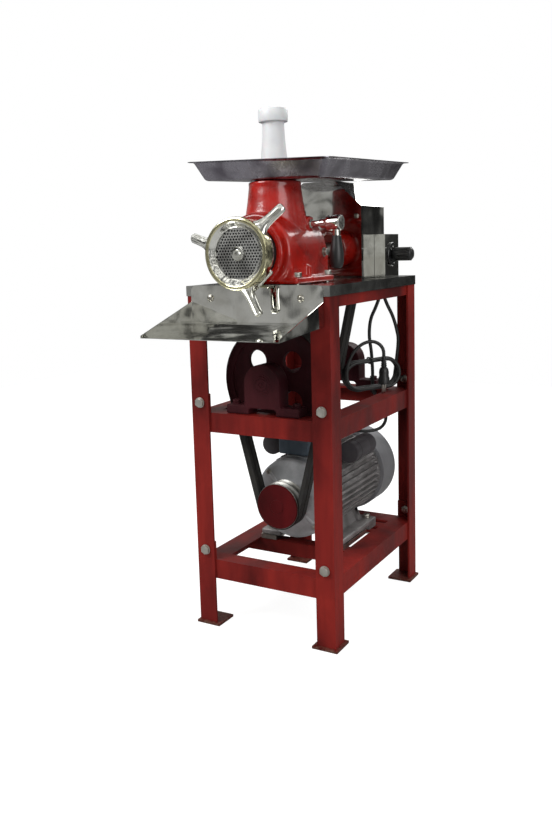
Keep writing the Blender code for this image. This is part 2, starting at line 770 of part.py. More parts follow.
def build_tray_screws():
    """Two dome-head screws with nuts behind the top frame."""
    head_at = TRAY_FRONT_Y + GAP
    nut_at = RAIL_Y - ANGLE_T - GAP
    profile = [
        (0, head_at + 0.0040), (0.0030, head_at + 0.0036), (0.0054, head_at + 0.0024),
        (TRAY_HEAD_R, head_at), (TRAY_SCREW_R, head_at),
        (TRAY_SCREW_R, nut_at), (0.0042, nut_at), (0.0042, nut_at - 0.004), (0, nut_at - 0.004),
    ]  # fmt: skip
    for hand, side in (("left", -1), ("right", 1)):
        at = (side * TRAY_SCREW_X, 0, TRAY_SCREW_Z)
        paint(turned(f"tray_screw_{hand}", profile, at, "-Y", 12), STEEL)


# ---------------------------------------------------------------- grinder
def along(front, height=HEAD_Z, x=0.0):
    """A point on the grinder's axis, a distance in front of the stand's centre."""
    return (x, -front, height)


def build_body():
    """The red casting: round case, pedestal, base, throat and rear bearing neck."""
    base_z = DECK_Z + GAP
    low = math.degrees(math.asin((HEAD_Z - base_z) / CASE_R))
    body = outline(
        "grinder_body", [arc((0, 0), CASE_R, -low, 180 + low, 36)], CASE_FRONT - CASE_BACK,
        along((CASE_FRONT + CASE_BACK) / 2), UPRIGHT,
    )  # fmt: skip
    pedestal = box(
        "pedestal", (-CASE_R, CASE_R), (-BASE_FRONT + 0.002, -CASE_BACK),
        (base_z + BASE_T - BITE, HEAD_Z),
    )  # fmt: skip
    base = box("base", (-BASE_X, BASE_X), (-BASE_FRONT, -BASE_BACK), (base_z, base_z + BASE_T))
    throat = rod(
        "throat", along(THROAT_FRONT, THROAT_ROOT_Z), "+Z", THROAT_TOP - THROAT_ROOT_Z,
        THROAT_ROOT_R, 32, THROAT_TOP_R,
    )  # fmt: skip
    neck = rod("neck", along(CASE_BACK + BITE), "+Y", CASE_BACK + BITE + NECK_END, NECK_R, 24)
    rim = rod("rim", along(RIM_FRONT), "+Y", RIM_FRONT - CASE_FRONT + BITE, RIM_R, 32)
    boss_from = CLAMP_BOSS_X - 0.024
    boss = rod("boss", along(CLAMP_FRONT, CLAMP_Z, boss_from), "+X", CLAMP_BOSS_X - boss_from,
               CLAMP_BOSS_R, 16)  # fmt: skip
    side_washer = rod("side_washer", along(0.072, HEAD_Z - 0.002, CASE_R - BITE), "+X", 0.003, 0.009, 16)
    side_bolt = rod("side_bolt", along(0.072, HEAD_Z - 0.002, CASE_R), "+X", 0.008, 0.0075, 6)
    plug = rod("oil_plug", along(CASE_BACK + 0.010, HEAD_Z + CASE_R - 0.010, 0.027), "+Z", 0.017,
               0.005, 12)  # fmt: skip
    joined = [pedestal, base, throat, neck, rim, boss, side_washer, side_bolt, plug]
    nut_top = TOP_FRAME_Z - ANGLE_T - GAP
    head_z = base_z + BASE_T
    for x, y in base_bolt_places():
        joined.append(rod("head", (x, y, head_z - BITE), "+Z", 0.012, hexagon_r(0.017), 6))
        joined.append(rod("shank", (x, y, nut_top - 0.010), "+Z", base_z - nut_top + 0.014,
                          BASE_BOLT_R, 8))  # fmt: skip
        joined.append(rod("nut", (x, y, nut_top - 0.008), "+Z", 0.008, hexagon_r(0.017), 6))
    cuts = [
        rod("socket", along(RIM_FRONT + EXTRA), "+Y", RIM_FRONT + EXTRA - BARREL_BACK + GAP,
            BARREL_R + GAP, 32),
        rod("chamber", along(BARREL_BACK + EXTRA), "+Y", BARREL_BACK + EXTRA - CHAMBER_BACK,
            CHAMBER_R, 32),
        rod("feed_bore", along(THROAT_FRONT), "+Z", THROAT_TOP + EXTRA - HEAD_Z, THROAT_BORE, 32),
        rod("shaft_bore", along(CHAMBER_BACK + EXTRA), "+Y", CHAMBER_BACK + NECK_END + 2 * EXTRA,
            SHAFT_R + GAP, 20),
        rod("pin_bore", along(CLAMP_FRONT, CLAMP_Z, CLAMP_BOSS_X - 0.018), "+X", 0.018 + EXTRA,
            CLAMP_PIN_R + GAP, 12),
    ]  # fmt: skip
    return paint(combine(body, joined, cuts), ENAMEL_RED)


def build_barrel():
    """The tinned barrel in the body's socket, with the threaded nose that holds the plate."""
    seat = PLATE_FACE - PLATE_T - GAP
    profile = [
        (BARREL_NOSE_R, PLATE_FACE - GAP), (BARREL_NOSE_R, BARREL_STEP), (BARREL_R, BARREL_STEP),
        (BARREL_R, BARREL_BACK), (CHAMBER_R, BARREL_BACK), (CHAMBER_R, seat),
        (PLATE_R + GAP, seat), (PLATE_R + GAP, PLATE_FACE - GAP),
    ]  # fmt: skip
    return paint(turned("barrel", profile, along(0), "-Y", 32, closed=True), CAST_IRON)


def build_ring_nut():
    """The ring nut with three swept arms."""
    profile = [
        (RING_FACE_R, RING_FRONT), (RING_R - 0.001, RING_FRONT), (RING_R, RING_FRONT - 0.003),
        (RING_R, RING_BACK), (BARREL_NOSE_R + GAP, RING_BACK),
        (BARREL_NOSE_R + GAP, PLATE_FACE + GAP), (RING_LIP_R, PLATE_FACE + GAP),
    ]  # fmt: skip
    ring = turned("ring_nut", profile, along(0), "-Y", 32, closed=True)
    root_y = -(RING_FRONT + RING_BACK) / 2
    arms = []
    for degrees in ARM_ANGLES:
        turn = math.radians(degrees)
        root, tip = (
            (r * math.cos(turn), y, HEAD_Z + r * math.sin(turn))
            for r, y in ((ARM_ROOT, root_y), (ARM_TIP, root_y + ARM_SWEEP))
        )
        arms.append(rod_between("arm", root, tip, ARM_ROOT_R, ARM_TIP_R, 10))
    return paint(combine(ring, arms), CHROME)


def build_plate():
    """The grinding plate: rings of holes round a plain middle."""
    plate = rod("grinding_plate", along(PLATE_FACE), "+Y", PLATE_T, PLATE_R, 32)
    cuts = [rod("spigot_hole", along(PLATE_FACE + EXTRA), "+Y", PLATE_T + 2 * EXTRA,
                SPIGOT_R + GAP, 16)]  # fmt: skip
    for ring_r, count in PLATE_RINGS:
        for x, z in arc((0, HEAD_Z), ring_r, 0, 360 * (count - 1) / count, count - 1):
            cuts.append(rod("hole", (x, -PLATE_FACE - EXTRA, z), "+Y", PLATE_T + 2 * EXTRA,
                            PLATE_HOLE_R, 6))  # fmt: skip
    return paint(combine(plate, cut=cuts), STEEL)


def build_knife():
    """The four-armed knife behind the plate."""
    front = PLATE_FACE - PLATE_T - GAP
    middle = -(front - KNIFE_T / 2)
    half = KNIFE_T / 2
    blades = [
        box("knife", (-KNIFE_R, KNIFE_R), (middle - half, middle + half),
            (HEAD_Z - KNIFE_BLADE / 2, HEAD_Z + KNIFE_BLADE / 2)),
        box("blade", (-KNIFE_BLADE / 2, KNIFE_BLADE / 2), (middle - half, middle + half),
            (HEAD_Z - KNIFE_R, HEAD_Z + KNIFE_R)),
    ]  # fmt: skip
    hub = rod("hub", along(front), "+Y", KNIFE_T, KNIFE_HUB_R, 20)
    bore = rod("bore", along(front + EXTRA), "+Y", KNIFE_T + 2 * EXTRA, SPIGOT_R + GAP, 16)
    return paint(combine(blades[0], [blades[1], hub], [bore]), STEEL)


def build_auger():
    """The feed screw: a core with a spiral flight, and the spigot that carries the knife."""
    knife_back = PLATE_FACE - PLATE_T - GAP - KNIFE_T
    front = knife_back - GAP
    back = CHAMBER_BACK + 2 * GAP
    auger = rod("auger", along(front), "+Y", front - back, AUGER_CORE_R, 16)
    spigot = rod("spigot", along(SPIGOT_END), "+Y", SPIGOT_END - front + BITE, SPIGOT_R, 16)
    mesh = bpy.data.meshes.new("flight")
    shape = bmesh.new()
    inner = AUGER_CORE_R - 2 * BITE
    corners = [
        shape.verts.new(spot)
        for spot in (
            (inner, 0, AUGER_FLIGHT), (AUGER_R, 0, AUGER_FLIGHT), (AUGER_R, 0, 0), (inner, 0, 0),
        )
    ]  # fmt: skip
    for index in range(4):
        shape.edges.new((corners[index], corners[(index + 1) % 4]))
    shape.to_mesh(mesh)
    shape.free()
    flight = place("flight", mesh)
    screw = flight.modifiers.new("flight", "SCREW")
    turns = (front - back - AUGER_FREE) / AUGER_PITCH
    screw.angle = math.tau * turns
    screw.screw_offset = AUGER_PITCH * turns
    screw.steps = round(12 * turns)
    screw.render_steps = screw.steps
    spiral = welded_mesh(flight, "flight")
    shape = bmesh.new()
    shape.from_mesh(spiral)
    bmesh.ops.holes_fill(shape, edges=[edge for edge in shape.edges if edge.is_boundary])
    bmesh.ops.recalc_face_normals(shape, faces=shape.faces)
    shape.to_mesh(spiral)
    shape.free()
    spiral_from = back + 0.004
    flight = place("flight", spiral, (0, -spiral_from, HEAD_Z), AXIS_TURN["-Y"])
    return paint(combine(auger, [spigot, flight]), STEEL)


def build_drive_shaft():
    """The shaft from the top pulley through the rear neck to the auger."""
    start = CHAMBER_BACK + GAP
    shaft = rod("drive_shaft", along(start), "+Y", start + SHAFT_END, SHAFT_R, 24)
    return paint(shaft, STEEL)


def build_lock_ring():
    """The ring round the barrel that a short lever tightens."""
    profile = [
        (LOCK_RING_R, LOCK_RING_FRONT), (LOCK_RING_R, LOCK_RING_BACK),
        (BARREL_R + GAP, LOCK_RING_BACK), (BARREL_R + GAP, LOCK_RING_FRONT),
    ]  # fmt: skip
    ring = turned("barrel_lock_ring", profile, along(0), "-Y", 32, closed=True)
    turn = math.radians(LOCK_LEVER_ANGLE)
    out = Vector((math.cos(turn), 0, math.sin(turn)))
    side = Vector((-math.sin(turn), 0, math.cos(turn)))
    touch = Vector(along((LOCK_RING_FRONT + LOCK_RING_BACK) / 2))
    touch += out * (LOCK_RING_R + LOCK_LEVER_R - BITE * 2)
    lever = rod_between(
        "lever", touch - side * LOCK_LEVER_LENGTH * 0.62, touch + side * LOCK_LEVER_LENGTH * 0.38,
        LOCK_LEVER_R, LOCK_LEVER_R, 12,
    )  # fmt: skip
    return paint(combine(ring, [lever]), CHROME)


def build_clamp():
    """The clamp on the body's right: a pin with a chrome hub and a hanging black handle."""
    hub_length = CLAMP_END_X - CLAMP_HUB_X
    profile = [
        (0, CLAMP_END_X), (CLAMP_HUB_R - 0.0015, CLAMP_END_X), (CLAMP_HUB_R, CLAMP_END_X - 0.0015),
        (CLAMP_HUB_R, CLAMP_HUB_X + hub_length * 0.12), (0.0085, CLAMP_HUB_X - 0.006),
        (0.0060, CLAMP_HUB_X - 0.012), (0.0060, CLAMP_BOSS_X + GAP),
        (CLAMP_PIN_R, CLAMP_BOSS_X + GAP), (CLAMP_PIN_R, CLAMP_BOSS_X - 0.0165),
        (0, CLAMP_BOSS_X - 0.0165),
    ]  # fmt: skip
    hub = turned("clamp_hub", profile, along(CLAMP_FRONT, CLAMP_Z), "+X", 20)
    stem = rod("stem", along(CLAMP_FRONT, HANDLE_TOP, HANDLE_X), "+Z", CLAMP_Z - HANDLE_TOP,
               0.0075, 16)  # fmt: skip
    paint(combine(hub, [stem]), CHROME)
    end = HANDLE_END
    profile = [
        (0, HANDLE_TOP - GAP), (0.0085, HANDLE_TOP - GAP), (0.0100, HANDLE_TOP - 0.010),
        (HANDLE_R, end + 0.030), (HANDLE_R - 0.0005, end + 0.012), (0.0095, end + 0.003), (0, end),
    ]  # fmt: skip
    handle = turned("clamp_handle", profile, along(CLAMP_FRONT, 0, HANDLE_X), "+Z", 20)
    paint(handle, BLACK_PLASTIC)
    return pivot("clamp_pivot", along(CLAMP_FRONT, CLAMP_Z, CLAMP_HUB_X), [hub, handle])


# ---------------------------------------------------------------- feed pan and pusher
def rounded_rectangle(half_x, half_y, radius, steps, side_steps):
    """Points round a rectangle with round corners, anticlockwise from its right rear corner."""
    corners = ((1, 1, 0), (-1, 1, 90), (-1, -1, 180), (1, -1, 270))
    arcs = []
    for side_x, side_y, start in corners:
        centre = (side_x * (half_x - radius), side_y * (half_y - radius))
        arcs.append(arc(centre, radius, start, start + 90, steps))
    points = []
    for corner, following, count in zip(arcs, arcs[1:] + arcs[:1], side_steps):
        points += corner
        start = Vector(corner[-1])
        end = Vector(following[0])
        points += [tuple(start.lerp(end, step / count)) for step in range(1, count)]
    return points


def build_pan():
    """The feed pan: one pressed sheet with a collar that drops into the throat."""
    tilt = Euler((math.atan(PAN_SLOPE_Y), -math.atan(PAN_SLOPE_X), 0))
    ahead = -THROAT_FRONT - PAN_Y
    deep = PAN_SLOPE_Y * ahead - PAN_DEPTH - PAN_COLLAR / 2
    hole = (tilt.to_matrix().inverted() @ Vector((0, ahead, deep))).xy
    steps = (4, (1, 4, 8, 4))
    rim = rounded_rectangle(*PAN_RIM, PAN_CORNER, *steps)
    mouth = rounded_rectangle(*PAN_MOUTH, PAN_CORNER - 0.012, *steps)
    floor = rounded_rectangle(*PAN_FLOOR, PAN_CORNER - 0.017, *steps)
    rings = [
        [(x, y, 0) for x, y in rim],
        [(x, y, 0) for x, y in mouth],
        [(x, y, -PAN_DEPTH) for x, y in floor],
    ]
    collar = [(Vector(point) - hole).normalized() * PAN_COLLAR_R + hole for point in floor]
    rings.append([(x, y, -PAN_DEPTH) for x, y in collar])
    rings.append([(x, y, -PAN_DEPTH - PAN_COLLAR) for x, y in collar])
    mesh = bpy.data.meshes.new("feed_pan")
    shape = bmesh.new()
    loops = [[shape.verts.new(spot) for spot in ring] for ring in rings]
    for upper, lower in zip(loops, loops[1:]):
        for index in range(len(upper)):
            after = (index + 1) % len(upper)
            shape.faces.new((upper[index], upper[after], lower[after], lower[index]))
    shape.to_mesh(mesh)
    shape.free()
    pan = place("feed_pan", mesh, (0, PAN_Y, PAN_Z), tilt)
    wall = pan.modifiers.new("wall", "SOLIDIFY")
    wall.thickness = SHEET_T
    wall.offset = -1.0
    wall.use_even_offset = True
    return paint(pan, STEEL)


def build_pusher():
    """The white pusher that stands in the throat on the auger."""
    foot = HEAD_Z + AUGER_R + GAP
    cap = PUSHER_TOP - PUSHER_CAP
    profile = [
        (0, PUSHER_TOP), (PUSHER_CAP_R - 0.002, PUSHER_TOP), (PUSHER_CAP_R, PUSHER_TOP - 0.002),
        (PUSHER_CAP_R, cap + 0.002), (PUSHER_CAP_R - 0.002, cap), (PUSHER_NECK_R, cap - 0.002),
        (PUSHER_PAN_R, PAN_Z), (PUSHER_FOOT_R, foot + 0.020), (PUSHER_FOOT_R, foot), (0, foot),
    ]  # fmt: skip
    return paint(turned("pusher", profile, along(THROAT_FRONT, 0), "+Z", 24), WHITE_PLASTIC)


# ---------------------------------------------------------------- belts and pulleys
def groove_profile(radius):
    """The rim of a two-groove pulley from its rear edge to its front edge."""
    points = [(radius, PULLEY_W / 2)]
    slope = (BELT_TOP - BELT_BASE) / 2 / BELT_H
    half_top = BELT_TOP / 2 - slope * BELT_PROUD + GROOVE_PLAY
    half_base = half_top - slope * GROOVE_DEPTH
    for centre in (BELT_PITCH / 2, -BELT_PITCH / 2):
        points += [
            (radius, centre + half_top), (radius - GROOVE_DEPTH, centre + half_base),
            (radius - GROOVE_DEPTH, centre - half_base), (radius, centre - half_top),
        ]  # fmt: skip
    points.append((radius, -PULLEY_W / 2))
    return points


def plain_pulley(name, radius, bore, y, z, finish, steps):
    """A pulley turned from the solid."""
    half = PULLEY_W / 2
    profile = groove_profile(radius) + [(bore + GAP, -half), (bore + GAP, half)]
    return paint(turned(name, profile, (0, y, z), "+Y", steps, closed=True), finish)


def webbed_pulley(name, radius, bore, y, z, finish, recess, hub_r, holes):
    """A pulley with a rim, a web with round holes and a hub."""
    half = PULLEY_W / 2
    inner = radius - GROOVE_DEPTH - 0.006
    web = -half + recess
    profile = groove_profile(radius)
    if recess > 0:
        profile += [(inner, -half), (inner, web), (hub_r, web), (hub_r, -half)]
    profile += [
        (bore + GAP, -half), (bore + GAP, half), (hub_r, half),
        (hub_r, web + PULLEY_WEB), (inner, web + PULLEY_WEB), (inner, half),
    ]  # fmt: skip
    pulley = turned(name, profile, (0, y, z), "+Y", 32, closed=True)
    cuts = []
    for index in range(holes):
        turn = math.tau * (index + 0.5) / holes
        x = WEB_HOLE_AT * math.cos(turn)
        spot_z = z + WEB_HOLE_AT * math.sin(turn)
        cuts.append(rod("web_hole", (x, y - half - EXTRA, spot_z), "+Y", PULLEY_W + 2 * EXTRA,
                        WEB_HOLE_R, 12))  # fmt: skip
    return paint(combine(pulley, cut=cuts), finish)


def belt_path(low_r, high_r, span, steps):
    """The closed line of a belt round a low and a high pulley, about the low one's centre."""
    lean = math.degrees(math.asin((high_r - low_r) / span))
    return arc((0, span), high_r, -lean, 180 + lean, steps) + arc(
        (0, 0), low_r, 180 + lean, 360 - lean, steps // 2
    )


def build_belts(prefix, y, low_z, high_z, low_r, high_r):
    """Two V-belts side by side round two pulleys."""
    section = [
        (-BELT_TOP / 2, 0), (BELT_TOP / 2, 0), (BELT_BASE / 2, -BELT_H), (-BELT_BASE / 2, -BELT_H),
    ]  # fmt: skip
    path = belt_path(low_r + BELT_PROUD, high_r + BELT_PROUD, high_z - low_z, 22)
    count = len(path)
    for number, offset in ((1, -BELT_PITCH / 2), (2, BELT_PITCH / 2)):
        mesh = bpy.data.meshes.new(f"{prefix}_belt_{number}")
        shape = bmesh.new()
        rings = []
        for index, (x, z) in enumerate(path):
            before = Vector(path[index - 1])
            after = Vector(path[(index + 1) % count])
            way = (after - before).normalized()
            out = Vector((way.y, -way.x))
            spots = [(x + out.x * rise, across, z + out.y * rise) for across, rise in section]
            corners = [shape.verts.new(spot) for spot in spots]
            rings.append([shape.edges.new(pair) for pair in zip(corners, corners[1:] + corners[:1])])
        for ring, following in zip(rings, rings[1:] + rings[:1]):
            bmesh.ops.bridge_loops(shape, edges=ring + following)
        bmesh.ops.recalc_face_normals(shape, faces=shape.faces)
        shape.to_mesh(mesh)
        shape.free()
        paint(place(f"{prefix}_belt_{number}", mesh, (0, y + offset, low_z)), RUBBER)


def build_countershaft():
    """The shaft in the two bearing blocks."""
    shaft = rod("countershaft", (0, -COUNTER_HALF, COUNTER_Z), "+Y", 2 * COUNTER_HALF, COUNTER_R, 24)
    return paint(shaft, STEEL)


def build_bearing_blocks():
    """Two pillow blocks on the shelf frame, each with its bearing and foot bolts."""
    base_z = SHELF_Z + GAP
    axis_h = COUNTER_Z - base_z
    arch = 0.006
    loop = [(-BLOCK_BASE, 0), (-BLOCK_ARCH, 0), (-BLOCK_ARCH, BLOCK_ARCH_H - arch)]
    loop += [(-BLOCK_ARCH + arch, BLOCK_ARCH_H), (BLOCK_ARCH - arch, BLOCK_ARCH_H)]
    loop += [(BLOCK_ARCH, BLOCK_ARCH_H - arch), (BLOCK_ARCH, 0), (BLOCK_BASE, 0)]
    loop += [(BLOCK_BASE, BLOCK_FOOT), (BLOCK_R, BLOCK_FOOT)]
    loop += arc((0, axis_h), BLOCK_R, 0, 180, 14)
    loop += [(-BLOCK_R, BLOCK_FOOT), (-BLOCK_BASE, BLOCK_FOOT)]
    for name, end in (("front_bearing_block", -1), ("rear_bearing_block", 1)):
        middle = end * BLOCK_Y
        block = outline(name, [loop], BLOCK_DEPTH, (0, middle, base_z), UPRIGHT)
        bearing = rod("bearing", (0, middle - BLOCK_DEPTH / 2 - 0.0015, COUNTER_Z), "+Y",
                      BLOCK_DEPTH + 0.003, 0.020, 16)  # fmt: skip
        joined = [bearing]
        nut_top = SHELF_Z - ANGLE_T - GAP
        for side in (-1, 1):
            x = side * BLOCK_BOLT_X
            joined.append(rod("head", (x, middle, base_z + BLOCK_FOOT - BITE), "+Z", 0.008,
                              hexagon_r(0.015), 6))  # fmt: skip
            joined.append(rod("shank", (x, middle, nut_top - 0.010), "+Z",
                              base_z - nut_top + 0.014, BLOCK_BOLT_R, 8))  # fmt: skip
            joined.append(rod("nut", (x, middle, nut_top - 0.008), "+Z", 0.008,
                              hexagon_r(0.015), 6))  # fmt: skip
        bore = rod("bore", (0, middle - BLOCK_DEPTH / 2 - EXTRA, COUNTER_Z), "+Y",
                   BLOCK_DEPTH + 2 * EXTRA, COUNTER_R + GAP, 18)  # fmt: skip
        paint(combine(block, joined, [bore]), MAROON)


# ---------------------------------------------------------------- motor
def build_motor_frame():
    """The finned motor housing with its stator, rear wall, feet and foot bolts."""
    root_r = FRAME_R - FIN_H
    loop = []
    for index in range(FINS):
        for share, radius in ((0.0, root_r), (0.30, root_r), (0.42, FRAME_R), (0.72, FRAME_R)):
            turn = math.tau * (index + share + 0.14) / FINS
            loop.append((radius * math.cos(turn), radius * math.sin(turn)))
    length = FRAME_BACK - FRAME_FRONT
    middle = (FRAME_BACK + FRAME_FRONT) / 2
    housing = outline("motor_housing", [loop], length, (0, middle, MOTOR_Z), UPRIGHT)
    foot_z = BED_Z + PACKING
    joined = []
    low = foot_z + MOTOR_FOOT_T - BITE
    high = MOTOR_Z - 0.0555
    for side in (-1, 1):
        gusset = [
            (side * 0.040, high), (side * 0.072, high), (side * 0.090, low), (side * 0.055, low),
        ]  # fmt: skip
        if side < 0:
            gusset.reverse()
        for y in (MOTOR_BOLT_FRONT + 0.024, MOTOR_BOLT_BACK - 0.026):
            joined.append(outline("gusset", [gusset], 0.014, (0, y, 0), UPRIGHT))
        web = [
            (side * 0.030, high - 0.005), (side * 0.055, high), (side * 0.066, low),
            (side * 0.050, low),
        ]  # fmt: skip
        if side < 0:
            web.reverse()
        reach = (MOTOR_BOLT_FRONT - 0.018, MOTOR_BOLT_BACK + 0.014)
        joined.append(outline("web", [web], reach[1] - reach[0], (0, sum(reach) / 2, 0), UPRIGHT))
        x = sorted((side * 0.050, side * FOOT_REACH))
        joined.append(box("foot", x, reach, (foot_z, foot_z + MOTOR_FOOT_T)))
        rear = (MOTOR_BOLT_BACK - 0.022, MOTOR_BOLT_BACK + 0.014)
        x = sorted((side * 0.062, side * FOOT_REACH))
        joined.append(box("rear_pad", x, rear, (BED_Z + GAP, foot_z + BITE)))
        cradle_y = sum(CAPACITOR_Y) / 2
        cradle_from = (side * 0.058, cradle_y, MOTOR_Z + 0.056)
        reach_in = Vector((side * CAPACITOR_X, cradle_y, CAPACITOR_Z)) - Vector(cradle_from)
        cradle_to = Vector(cradle_from) + reach_in.normalized() * (
            reach_in.length - CAPACITOR_R - 2 * GAP
        )
        joined.append(rod_between("cradle", cradle_from, cradle_to, 0.008, 0.008, 12))
    nut_top = BED_Z - ANGLE_T - GAP
    for x, y in motor_bolt_places():
        joined.append(rod("head", (x, y, foot_z + MOTOR_FOOT_T - BITE), "+Z", 0.008,
                          hexagon_r(0.015), 6))  # fmt: skip
        joined.append(rod("shank", (x, y, nut_top - 0.010), "+Z", foot_z - nut_top + 0.012,
                          BASE_BOLT_R, 8))  # fmt: skip
        joined.append(rod("nut", (x, y, nut_top - 0.008), "+Z", 0.008, hexagon_r(0.0175), 6))
    cuts = [
        rod("stator_bore", (0, FRAME_FRONT - EXTRA, MOTOR_Z), "+Y", length - 0.010 + EXTRA,
            STATOR_R, 24),
        rod("rear_bore", (0, FRAME_BACK - 0.020, MOTOR_Z), "+Y", 0.020 + EXTRA,
            MOTOR_SHAFT_R + GAP, 16),
    ]  # fmt: skip
    return paint(combine(housing, joined, cuts), ALUMINIUM)


def build_motor_ends():
    """The front end shield and the fan cowl."""
    front = -FRAME_FRONT + GAP
    profile = [
        (0.030, -SHIELD_HUB), (0.034, -SHIELD_FRONT + 0.004), (0.060, -SHIELD_FRONT),
        (SHIELD_R - 0.003, -SHIELD_FRONT - 0.004), (SHIELD_R, -SHIELD_FRONT - 0.009),
        (SHIELD_R, front), (SHIELD_R - 0.007, front), (SHIELD_R - 0.010, front + 0.018),
        (0.026, front + 0.022), (0.026, front), (MOTOR_SHAFT_R + GAP, front),
        (MOTOR_SHAFT_R + GAP, -SHIELD_HUB),
    ]  # fmt: skip
    shield = turned("motor_front_shield", profile, (0, 0, MOTOR_Z), "-Y", 24, closed=True)
    paint(shield, ALUMINIUM)
    start = FRAME_BACK + GAP
    inner = COWL_R - COWL_T
    profile = [
        (0.012, COWL_BACK), (COWL_R - 0.012, COWL_BACK), (COWL_R - 0.003, COWL_BACK - 0.004),
        (COWL_R, COWL_BACK - 0.013), (COWL_R, start), (FRAME_R - 0.006, start),
        (FRAME_R - 0.006, start + COWL_T), (inner, start + COWL_T), (inner, COWL_BACK - 0.013),
        (inner - 0.003, COWL_BACK - 0.005), (inner - 0.012, COWL_BACK - COWL_T),
        (0.012, COWL_BACK - COWL_T),
    ]  # fmt: skip
    cowl = turned("motor_fan_cowl", profile, (0, 0, MOTOR_Z), "+Y", 24, closed=True)
    vents = []
    for ring_r, count in ((0.034, 4), (0.062, 8)):
        for x, z in arc((0, MOTOR_Z), ring_r, 0, 360 * (count - 1) / count, count - 1):
            vents.append(rod("vent", (x, COWL_BACK - 3 * COWL_T, z), "+Y", 6 * COWL_T, 0.0090, 6))
    paint(combine(cowl, cut=vents), GREY_PAINT)


def build_rotor():
    """The motor's shaft with its rotor core and cooling fan."""
    core = (FRAME_FRONT + 0.030, FRAME_BACK - 0.035)
    fan_y = FRAME_BACK + 0.030
    front = LOWER_Y - PULLEY_W / 2
    profile = [
        (0, fan_y + 0.006), (0.020, fan_y + 0.006), (0.020, fan_y + 0.003),
        (0.078, fan_y + 0.003), (0.078, fan_y), (0.020, fan_y), (0.020, fan_y - 0.016),
        (MOTOR_SHAFT_R, fan_y - 0.016), (MOTOR_SHAFT_R, core[1]), (ROTOR_R, core[1]),
        (ROTOR_R, core[0]), (MOTOR_SHAFT_R, core[0]), (MOTOR_SHAFT_R, front), (0, front),
    ]  # fmt: skip
    rotor = turned("motor_rotor", profile, (0, 0, MOTOR_Z), "+Y", 16)
    blades = []
    for index in range(6):
        turn = math.tau * index / 6
        blade = box("fan_blade", (0.018, 0.076), (-0.001, 0.001), (0, 0.018))
        bmesh_mesh = blade.data
        centre = Vector((0.047, 0, 0))
        for corner in bmesh_mesh.vertices:
            corner.co += centre
        blade.location = (0, fan_y - 0.007, MOTOR_Z)
        blade.rotation_euler = (math.pi / 2, -turn, 0)
        blades.append(blade)
    return paint(combine(rotor, blades), STEEL)


def build_motor_fittings():
    """The terminal box, the two capacitors and the packing strips under the feet."""
    low = MOTOR_Z + FRAME_R + GAP
    box_x = (-BOX_X, BOX_X)
    box_y = (BOX_FRONT, BOX_BACK)
    terminal = box("terminal_box", box_x, box_y, (low, low + BOX_H))
    lid = box("lid", (-BOX_X - 0.002, BOX_X + 0.002), (BOX_FRONT - 0.002, BOX_BACK + 0.002),
              (low + BOX_H - BITE, low + BOX_H + 0.006))  # fmt: skip
    gland = rod("gland", (LEAD_IN[0], BOX_BACK - BITE, LEAD_IN[1]), "+Y", 0.012 + BITE,
                0.008, 12, 0.0062)  # fmt: skip
    paint(combine(terminal, [lid, gland]), GREY_PAINT)
    length = CAPACITOR_Y[1] - CAPACITOR_Y[0]
    for hand, side in (("left", -1), ("right", 1)):
        at = (side * CAPACITOR_X, CAPACITOR_Y[0], CAPACITOR_Z)
        paint(rod(f"capacitor_{hand}", at, "+Y", length, CAPACITOR_R, 24), GREY_PAINT)
        x = sorted((side * 0.060, side * (FOOT_REACH + 0.001)))
        strip = box(f"packing_strip_{hand}", x, (BED_FRONT_Y - 0.002, BED_PLATE_Y - 0.019),
                    (BED_Z + GAP, BED_Z + PACKING - GAP))  # fmt: skip
        hole = rod("strip_hole", (side * MOTOR_BOLT_X, MOTOR_BOLT_FRONT, BED_Z - EXTRA), "+Z",
                   PACKING + 2 * EXTRA, BASE_BOLT_R + HOLE_PLAY, 8)  # fmt: skip
        paint(combine(strip, cut=[hole]), STEEL)


# ---------------------------------------------------------------- belt guard and switch
def build_guard():
    """The folded cover over the top pulley, open below."""
    def section(inset, low):
        shoulder = GUARD_SHOULDER - inset * math.tan(math.radians(22.5))
        top_x = GUARD_TOP_X - inset * math.tan(math.radians(22.5))
        half = GUARD_X - inset
        return [
            (-half, low), (half, low), (half, shoulder), (top_x, GUARD_TOP - inset),
            (-top_x, GUARD_TOP - inset), (-half, shoulder),
        ]  # fmt: skip

    depth = GUARD_Y[1] - GUARD_Y[0]
    middle = sum(GUARD_Y) / 2
    low = DECK_Z + GAP
    guard = outline("belt_guard", [section(0, low)], depth, (0, middle, 0), UPRIGHT)
    inside = outline("guard_inside", [section(GUARD_T, low - EXTRA)], depth - 2 * GUARD_T,
                     (0, middle, 0), UPRIGHT)  # fmt: skip
    hole = rod("shaft_hole", (0, GUARD_Y[0] - EXTRA, HEAD_Z), "+Y", GUARD_T + 2 * EXTRA,
               SHAFT_R + 0.002, 24)  # fmt: skip
    return paint(combine(guard, cut=[inside, hole]), MIRROR_STEEL)


